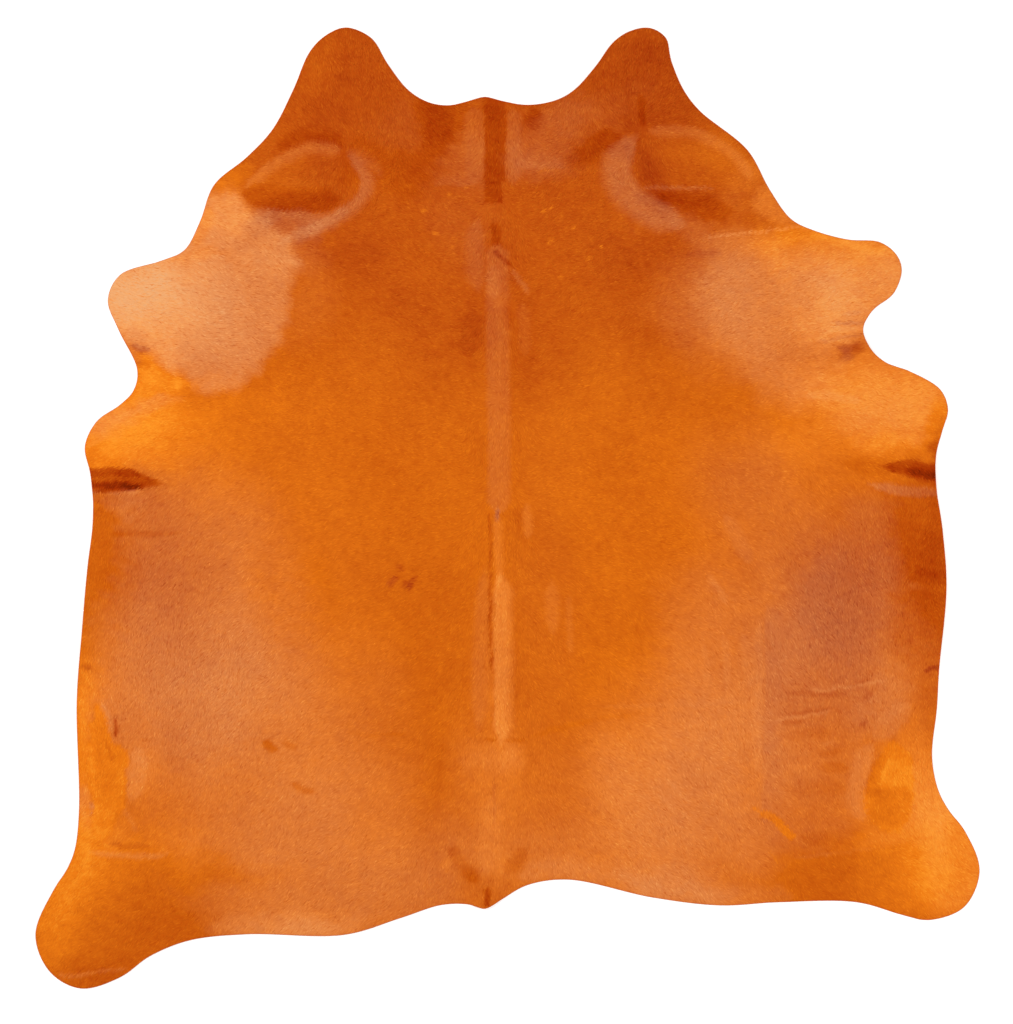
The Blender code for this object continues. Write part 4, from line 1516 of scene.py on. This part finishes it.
class NodeSheet:
    """A node tree with short calls for laying nodes down and feeding them."""

    def __init__(self, tree: bpy.types.NodeTree) -> None:
        """Clears the tree and keeps it."""
        self.tree = tree
        tree.nodes.clear()

    def lay(self, kind: str, feeds: dict[str | int, object] | None = None,
            **settings: object) -> bpy.types.Node:
        """Puts down a node.

        Args:
            kind: Blender's name of the node type.
            feeds: What goes into its inputs, a socket or a value, by name or number.
            settings: Values of the node's own settings.

        Returns:
            The node.
        """
        node = self.tree.nodes.new(kind)
        for label, value in settings.items():
            setattr(node, label, value)
        for label, value in (feeds or {}).items():
            if isinstance(value, bpy.types.NodeSocket):
                self.tree.links.new(value, node.inputs[label])
            else:
                node.inputs[label].default_value = value
        return node

    def math(self, operation: str, first: Feed, second: Feed = 0.0) -> bpy.types.NodeSocket:
        """Lays a Math node and returns its value."""
        return self.lay("ShaderNodeMath", {0: first, 1: second}, operation=operation).outputs[0]

    def scaled(self, value: Feed, size: Feed, onto: Feed) -> bpy.types.NodeSocket:
        """The value times the size, added onto another."""
        feeds = {0: value, 1: size, 2: onto}
        return self.lay("ShaderNodeMath", feeds, operation="MULTIPLY_ADD").outputs[0]

    def noise(self, place: bpy.types.NodeSocket, scale: Feed, detail: float) -> bpy.types.NodeSocket:
        """Lays a Noise Texture and returns its value less a half, so that it swings about nothing."""
        feeds = {"Vector": place, "Scale": scale, "Detail": detail}
        return self.math("SUBTRACT", self.lay("ShaderNodeTexNoise", feeds).outputs[0], 0.5)

    def place(self) -> bpy.types.NodeSocket:
        """Place on the object, in metres."""
        return self.lay("ShaderNodeTexCoord").outputs["Object"]

    def carried(self, label: str) -> bpy.types.NodeSocket:
        """The number that the piece's corners carry under a name."""
        return self.lay("ShaderNodeAttribute", attribute_name=label).outputs["Fac"]

    def effect(self, group: bpy.types.NodeTree, feeds: dict[str, Feed]) -> bpy.types.NodeSocket:
        """Lays a node group with its own values and returns its first output."""
        return self.lay("ShaderNodeGroup", feeds, node_tree=group).outputs[0]

    def mixed(self, share: Feed, first: object, second: object) -> bpy.types.NodeSocket:
        """Lays a Mix node for colours and returns the first mixed with a share of the second."""
        return self.lay("ShaderNodeMix", {0: share, 6: first, 7: second}, data_type="RGBA").outputs[2]

    def bump(self, height: bpy.types.NodeSocket, depth: float) -> bpy.types.NodeSocket:
        """Lays a Bump node and returns its normal."""
        return self.lay("ShaderNodeBump", {"Height": height, "Distance": depth}).outputs[0]

    def clouds(self, group: bpy.types.NodeTree, place: bpy.types.NodeSocket,
               strengths: tuple[float, float, float]) -> bpy.types.NodeSocket:
        """Lays the clouds' group at a place, with its wide, middle and fine strengths."""
        wide, middle, fine = strengths
        return self.effect(group, {"Place": place, "Wide": wide, "Middle": middle, "Fine": fine})

    def stain(self, group: bpy.types.NodeTree, strength: float) -> bpy.types.NodeSocket:
        """Lays the rim stain's group at the carried rim, with its strength."""
        return self.effect(group, {"Rim": self.carried("rim"), "Strength": strength})

    def surface(self, gloss: Gloss, colour: Feed, roughness: Feed,
                normal: bpy.types.NodeSocket) -> None:
        """Lays the surface shader with its gloss on its own sockets, and the material's output.

        Args:
            gloss: The steady values of the shader.
            colour: What feeds the base colour.
            roughness: What feeds the roughness.
            normal: What feeds the normal.
        """
        shader = self.lay("ShaderNodeBsdfPrincipled", {
            "Base Color": colour, "Roughness": roughness, "Normal": normal,
            "Specular IOR Level": gloss.shine, "Specular Tint": linear(gloss.shine_tint),
            "Sheen Weight": gloss.sheen, "Sheen Roughness": gloss.sheen_roughness,
            "Sheen Tint": linear(gloss.sheen_tint)})
        self.lay("ShaderNodeOutputMaterial", {"Surface": shader.outputs[0]})


def open_group(name: str, takes: dict[str, float | None], gives: dict[str, str]
               ) -> tuple[NodeSheet, bpy.types.Node, bpy.types.Node]:
    """Starts a shader node group.

    Args:
        name: Name of the group.
        takes: Starting values of its number inputs, by name, or None for an input of places.
        gives: Socket types of its outputs, by name.

    Returns:
        The group's sheet, its input node and its output node.
    """
    tree = bpy.data.node_groups.new(name, "ShaderNodeTree")
    sheet = NodeSheet(tree)
    for label, start in takes.items():
        kind = "NodeSocketVector" if start is None else "NodeSocketFloat"
        socket = tree.interface.new_socket(label, in_out="INPUT", socket_type=kind)
        if start is not None:
            socket.default_value = start
    for label, kind in gives.items():
        tree.interface.new_socket(label, in_out="OUTPUT", socket_type=kind)
    return sheet, sheet.lay("NodeGroupInput"), sheet.lay("NodeGroupOutput")


class Effects:
    """The node groups that the finishes share, each built once."""

    stain_scale: float = 14.0
    stain_detail: float = 3.0
    stain_swing: float = 1.6
    wave_scale: float = 0.3
    wave_detail: float = 3.0
    wave_height: float = 1.4

    def __init__(self) -> None:
        """Builds the groups."""
        self.dye_shading_and_sheen = self.build_dye_shading_and_sheen()
        self.mottle = self.build_mottle()
        self.rim_stain = self.build_rim_stain()
        self.leather_grain = self.build_leather_grain()

    @staticmethod
    def build_dye_shading_and_sheen() -> bpy.types.NodeTree:
        """Runs the depth of dye and painted shading through a ramp of the dye's colours and mixes in
        the pale colour of the painted sheen.

        Returns:
            The group.
        """
        sheet, takes, gives = open_group("dye_shading_and_sheen", {"Depth": 0.4, "PaintedSheen": 0.0},
                                         {"Colour": "NodeSocketColor"})
        ramp = sheet.lay("ShaderNodeValToRGB", {"Fac": takes.outputs["Depth"]})
        stops = ramp.color_ramp.elements
        while len(stops) < len(DYE_AND_SHADE_RAMP):
            stops.new(1.0)
        for stop, (depth, colour) in zip(stops, DYE_AND_SHADE_RAMP):
            stop.position = depth
            stop.color = linear(colour, STUDIO_GAIN)
        # The pale colour mixed in here is a painted sheen.
        mixed = sheet.mixed(takes.outputs["PaintedSheen"], ramp.outputs["Color"],
                            linear(PAINTED_SHEEN_COLOUR, STUDIO_GAIN))
        sheet.tree.links.new(mixed, gives.inputs["Colour"])
        return sheet.tree

    @staticmethod
    def build_mottle() -> bpy.types.NodeTree:
        """Adds up clouds of three sizes, each with its own strength.

        Returns:
            The group.
        """
        sheet, takes, gives = open_group("mottle", {"Place": None, "Wide": 0.1, "Middle": 0.1,
                                                    "Fine": 0.1}, {"Value": "NodeSocketFloat"})
        place = takes.outputs["Place"]
        total = 0.0
        for label, (scale, detail) in MOTTLE_SIZES.items():
            total = sheet.scaled(sheet.noise(place, scale, detail), takes.outputs[label], total)
        sheet.tree.links.new(total, gives.inputs["Value"])
        return sheet.tree

    @classmethod
    def build_rim_stain(cls) -> bpy.types.NodeTree:
        """Deepens the dye towards the cut, in uneven runs: the rim times a cloud of its own.

        Returns:
            The group.
        """
        sheet, takes, gives = open_group("rim_stain", {"Rim": 0.0, "Strength": 0.2},
                                         {"Value": "NodeSocketFloat"})
        cloud = sheet.noise(sheet.place(), cls.stain_scale, cls.stain_detail)
        uneven = sheet.scaled(cloud, cls.stain_swing, 1.0)
        stained = sheet.math("MULTIPLY", uneven, takes.outputs["Rim"])
        deepened = sheet.math("MULTIPLY", stained, takes.outputs["Strength"])
        sheet.tree.links.new(deepened, gives.inputs["Value"])
        return sheet.tree

    @classmethod
    def build_leather_grain(cls) -> bpy.types.NodeTree:
        """Height of the leather's grain: fine pebbles of the given scale over a coarser wave.

        Returns:
            The group.
        """
        sheet, takes, gives = open_group("leather_grain", {"Scale": 900.0},
                                         {"Height": "NodeSocketFloat"})
        place = sheet.place()
        feeds = {"Vector": place, "Scale": takes.outputs["Scale"]}
        pebbles = sheet.lay("ShaderNodeTexVoronoi", feeds).outputs["Distance"]
        coarse = sheet.math("MULTIPLY", takes.outputs["Scale"], cls.wave_scale)
        wave = sheet.noise(place, coarse, cls.wave_detail)
        height = sheet.scaled(wave, cls.wave_height, pebbles)
        sheet.tree.links.new(height, gives.inputs["Height"])
        return sheet.tree


@dataclass(frozen=True)
class Finish:
    """What every finish has: a name, a gloss, and a roughness and a bump that swing."""

    name: str
    gloss: Gloss
    roughness: float
    roughness_swing: float
    bump_depth: float

    def look(self, sheet: NodeSheet, effects: Effects) -> tuple[bpy.types.NodeSocket, ...]:
        """Lays the nodes that are the finish's own.

        Args:
            sheet: The material's node sheet.
            effects: The shared node groups.

        Returns:
            The colour, the height of the bump, and what the roughness swings with.
        """
        raise NotImplementedError(self.name)

    def material(self, effects: Effects) -> bpy.types.Material:
        """Builds the material: the finish's own look on the surface that all finishes share.

        Args:
            effects: The shared node groups.

        Returns:
            The material.
        """
        material = bpy.data.materials.new(self.name)
        material.use_nodes = True
        sheet = NodeSheet(material.node_tree)
        colour, height, uneven = self.look(sheet, effects)
        roughness = sheet.scaled(uneven, self.roughness_swing, self.roughness)
        sheet.surface(self.gloss, colour, roughness, sheet.bump(height, self.bump_depth))
        return material


@dataclass(frozen=True)
class HairFinish(Finish):
    """Dyed hair: the map's dye with painted shading and its painted sheen, uneven from tuft to tuft and
    paler at the tips.
    """

    name: str = "dyed_hair_with_painted_light"
    gloss: Gloss = Gloss()
    tuft_dye: float = 0.048
    tuft_sheen_swing: float = 0.22
    tip_fade: float = -0.03
    cloud: tuple[float, float, float] = (0.09, 0.15, 0.14)
    livelier: float = 1.6
    rim_stain: float = 0.02
    roughness: float = 0.58
    roughness_swing: float = 0.2
    fibres: float = 26.0
    fibre_waver: float = 1.2
    fibre_detail: float = 2.0
    bump_depth: float = 0.00006

    def look(self, sheet: NodeSheet, effects: Effects) -> tuple[bpy.types.NodeSocket, ...]:
        """Colours the tufts.

        The depth is the carried dye and painted shading plus the fade to the tip, the rim's stain and
        the unevenness: the tuft's tone and the clouds at the place that its colour comes from, the
        livelier the more painted sheen there is. The painted sheen is the carried one, pale where the
        hair lies towards the light, stronger or weaker by tuft. Fibres are fine bands across the strand
        that raise the bump and the roughness.

        Args:
            sheet: The material's node sheet.
            effects: The shared node groups.

        Returns:
            The colour, the height of the bump, and what the roughness swings with.
        """
        tone = sheet.carried("tone")
        held = sheet.lay("ShaderNodeCombineXYZ", {"X": sheet.carried("across"),
                                                  "Y": sheet.carried("along")}).outputs[0]
        clouds = sheet.clouds(effects.mottle, held, self.cloud)
        stain = sheet.stain(effects.rim_stain, self.rim_stain)
        # The carried pale field is a painted sheen, where the hair lies towards the light.
        carried_sheen = sheet.carried("painted_sheen")
        uneven = sheet.math("MULTIPLY", sheet.scaled(tone, self.tuft_dye, clouds),
                            sheet.scaled(carried_sheen, self.livelier, 1.0))
        # The carried depth holds painted shade and painted highlights with the dye.
        depth = sheet.scaled(sheet.carried("reach"), self.tip_fade, sheet.carried("dye_and_shading"))
        depth = sheet.math("ADD", sheet.math("ADD", depth, uneven), stain)
        painted_sheen = sheet.math("MULTIPLY", carried_sheen, sheet.scaled(tone, -self.tuft_sheen_swing, 1.0))
        colour = sheet.effect(effects.dye_shading_and_sheen, {"Depth": depth, "PaintedSheen": painted_sheen})
        strand = sheet.lay("ShaderNodeUVMap", uv_map="strand").outputs[0]
        stretched = sheet.lay("ShaderNodeMapping", {
            "Vector": strand, "Scale": (self.fibres, self.fibre_waver, 1.0)})
        fibre = sheet.noise(stretched.outputs[0], 1.0, self.fibre_detail)
        return colour, fibre, fibre


@dataclass(frozen=True)
class GroundFinish(Finish):
    """The dyed skin and the short hair under the tufts, a little deeper than the coat."""

    name: str = "dyed_ground_with_painted_light"
    gloss: Gloss = Gloss()
    deeper: float = 0.02
    cloud: tuple[float, float, float] = (0.09, 0.15, 0.14)
    rim_stain: float = 0.03
    roughness: float = 0.66
    roughness_swing: float = 0.1
    grain_scale: float = 700.0
    bump_depth: float = 0.00012

    def look(self, sheet: NodeSheet, effects: Effects) -> tuple[bpy.types.NodeSocket, ...]:
        """Colours the skin from the carried dye with its painted shading, the painted sheen, the clouds
        and the rim.

        Args:
            sheet: The material's node sheet.
            effects: The shared node groups.

        Returns:
            The colour, the height of the bump, and what the roughness swings with.
        """
        clouds = sheet.clouds(effects.mottle, sheet.place(), self.cloud)
        stain = sheet.stain(effects.rim_stain, self.rim_stain)
        # The carried depth holds painted shade and painted highlights with the dye, and the pale field
        # is a painted sheen.
        depth = sheet.math("ADD", sheet.carried("dye_and_shading"), self.deeper)
        depth = sheet.math("ADD", sheet.math("ADD", depth, clouds), stain)
        colour = sheet.effect(effects.dye_shading_and_sheen, {"Depth": depth, "PaintedSheen": sheet.carried("painted_sheen")})
        grain = sheet.effect(effects.leather_grain, {"Scale": self.grain_scale})
        return colour, grain, grain


@dataclass(frozen=True)
class CutEdgeFinish(Finish):
    """The knife-cut edge: raw fibres with the dye soaked deep into them."""

    name: str = "cut_edge"
    gloss: Gloss = Gloss()
    depth: float = 0.58
    # A little of the painted sheen's pale colour is mixed into the edge.
    painted_sheen: float = 0.04
    unevenness: float = 0.5
    cloud_scale: float = 160.0
    cloud_detail: float = 4.0
    roughness: float = 0.8
    roughness_swing: float = 0.2
    grain_scale: float = 1400.0
    bump_depth: float = 0.00015

    def look(self, sheet: NodeSheet, effects: Effects) -> tuple[bpy.types.NodeSocket, ...]:
        """Colours the edge with a deep dye that fine clouds lighten and darken.

        Args:
            sheet: The material's node sheet.
            effects: The shared node groups.

        Returns:
            The colour, the height of the bump, and what the roughness swings with.
        """
        cloud = sheet.noise(sheet.place(), self.cloud_scale, self.cloud_detail)
        depth = sheet.scaled(cloud, self.unevenness, self.depth)
        colour = sheet.effect(effects.dye_shading_and_sheen, {"Depth": depth, "PaintedSheen": self.painted_sheen})
        grain = sheet.effect(effects.leather_grain, {"Scale": self.grain_scale})
        return colour, grain, cloud


@dataclass(frozen=True)
class FleshFinish(Finish):
    """The flesh side: pale buffed suede, clouded, with the dye strayed in at the cut."""

    name: str = "flesh_suede"
    gloss: Gloss = Gloss(shine=0.2, shine_tint=(255, 244, 230), sheen=0.12,
                         sheen_tint=(255, 240, 220))
    pale: Colour = (214, 188, 150)
    dark: Colour = (186, 152, 110)
    strayed: Colour = (206, 122, 52)
    cloud: tuple[float, float, float] = (1.1, 0.7, 0.6)
    darkness: float = 0.45
    roughness: float = 0.85
    roughness_swing: float = 0.08
    nap_scale: float = 1100.0
    bump_depth: float = 0.00018

    def look(self, sheet: NodeSheet, effects: Effects) -> tuple[bpy.types.NodeSocket, ...]:
        """Colours the suede from pale to dark by the clouds, then by the dye's stray at the rim.

        Args:
            sheet: The material's node sheet.
            effects: The shared node groups.

        Returns:
            The colour, the height of the bump, and what the roughness swings with.
        """
        clouds = sheet.clouds(effects.mottle, sheet.place(), self.cloud)
        darker = sheet.math("ADD", clouds, self.darkness)
        share = sheet.lay("ShaderNodeClamp", {"Value": darker}).outputs[0]
        suede = sheet.mixed(share, linear(self.pale), linear(self.dark))
        colour = sheet.mixed(sheet.carried("rim"), suede, linear(self.strayed))
        nap = sheet.effect(effects.leather_grain, {"Scale": self.nap_scale})
        return colour, nap, clouds


# ---------------------------------------------------------------- studio


@dataclass(frozen=True)
class Softbox:
    """A square lamp that looks at the middle of the hide, in metres and watts."""

    place: str
    across: float
    along: float
    height: float
    size: float
    power: float

    def hang(self) -> None:
        """Makes the lamp and turns it to the middle of the hide."""
        lamp = bpy.data.lights.new(self.place, "AREA")
        lamp.shape = "SQUARE"
        lamp.size = self.size
        lamp.energy = self.power
        holder = bpy.data.objects.new(self.place, lamp)
        level = math.hypot(self.across, self.along)
        holder.location = (self.across, self.along, self.height)
        holder.rotation_euler = (0.0, math.atan2(level, self.height),
                                 math.atan2(self.along, self.across))
        bpy.context.scene.collection.objects.link(holder)


# Columns: place, across, along, height, size, power.
SOFTBOXES = (
    Softbox("softbox_left", -3.6, 1.2, 3.4, 2.6, 104.0),
    Softbox("softbox_right", 3.6, -0.8, 3.4, 2.6, 78.0),
)


@dataclass
class Studio:
    """A plain pale floor, soft light from all round and a camera that looks straight down."""

    floor_reach: float = 40.0
    floor_drop: float = 0.0004
    floor_colour: Colour = (246, 246, 245)
    floor_glow: float = 0.25
    floor_roughness: float = 0.9
    floor_shine: float = 0.1
    sky_strength: float = 0.69
    softboxes: tuple[Softbox, ...] = SOFTBOXES
    lens: float = 85.0
    sensor: float = 36.0
    seen_height: float = 2.304
    aim: tuple[float, float] = (-0.00225, -0.009)
    clip_reach: float = 10.0

    def lay_floor(self) -> bpy.types.Object:
        """Makes the floor, a flat square just under the hide.

        Returns:
            The floor.
        """
        reach = self.floor_reach
        square = np.array([[-reach, -reach], [reach, -reach], [reach, reach], [-reach, reach]])
        places = np.column_stack([square, np.full(4, -self.floor_drop)])
        floor = make_piece("floor", places, [np.array([[0, 1, 2, 3]])], [0], {},
                           {"flat": (square + reach) / (2.0 * reach)}, False)
        material = bpy.data.materials.new("studio_floor")
        material.use_nodes = True
        sheet = NodeSheet(material.node_tree)
        shader = sheet.lay("ShaderNodeBsdfPrincipled", {
            "Base Color": linear(self.floor_colour), "Roughness": self.floor_roughness,
            "Specular IOR Level": self.floor_shine,
            "Emission Color": linear(self.floor_colour), "Emission Strength": self.floor_glow})
        sheet.lay("ShaderNodeOutputMaterial", {"Surface": shader.outputs[0]})
        floor.data.materials.append(material)
        return floor

    def light(self) -> None:
        """Sets an even pale sky and hangs the softboxes."""
        world = bpy.data.worlds.new("studio_sky")
        world.use_nodes = True
        sheet = NodeSheet(world.node_tree)
        feeds = {"Color": (1.0, 1.0, 1.0, 1.0), "Strength": self.sky_strength}
        sky = sheet.lay("ShaderNodeBackground", feeds)
        sheet.lay("ShaderNodeOutputWorld", {"Surface": sky.outputs[0]})
        bpy.context.scene.world = world
        for softbox in self.softboxes:
            softbox.hang()

    def set_camera(self) -> None:
        """Hangs the camera straight above, as high as takes in the seen height."""
        camera = bpy.data.cameras.new("camera")
        camera.lens = self.lens
        camera.sensor_width = self.sensor
        height = self.seen_height * self.lens / self.sensor
        camera.clip_end = self.clip_reach * height
        holder = bpy.data.objects.new("camera", camera)
        holder.location = (*self.aim, height)
        bpy.context.scene.collection.objects.link(holder)
        bpy.context.scene.camera = holder
        bpy.context.scene.view_settings.view_transform = "Standard"


def main() -> None:
    """Builds the hide's sheet and coat, dresses them, and sets up the studio."""
    logging.basicConfig(level=logging.INFO, format="%(name)s: %(message)s")
    studio = Studio()
    studio.set_camera()
    studio.light()
    floor = studio.lay_floor()
    cut = KnifeCut(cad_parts[NODE])
    LOG.info("cut: %.2f m round", cut.length)
    shape = SkinShape(DyeShadingAndSheenMap())
    effects = Effects()
    coat = HairCoat(cut, shape, HairLay())
    regions = coat.build()
    coat.dress(regions, HairFinish().material(effects))
    for piece in regions:
        LOG.info("%s: %d tufts", piece.name, len(piece.data.polygons) // 4)
    skin = Skin(cut, shape)
    sheet = skin.build()
    finishes = [GroundFinish(), CutEdgeFinish(), FleshFinish()]
    skin.dress(sheet, [finish.material(effects) for finish in finishes], regions, floor)
    LOG.info("%s: %d faces", sheet.name, len(sheet.data.polygons))


if __name__ == "__main__":
    main()
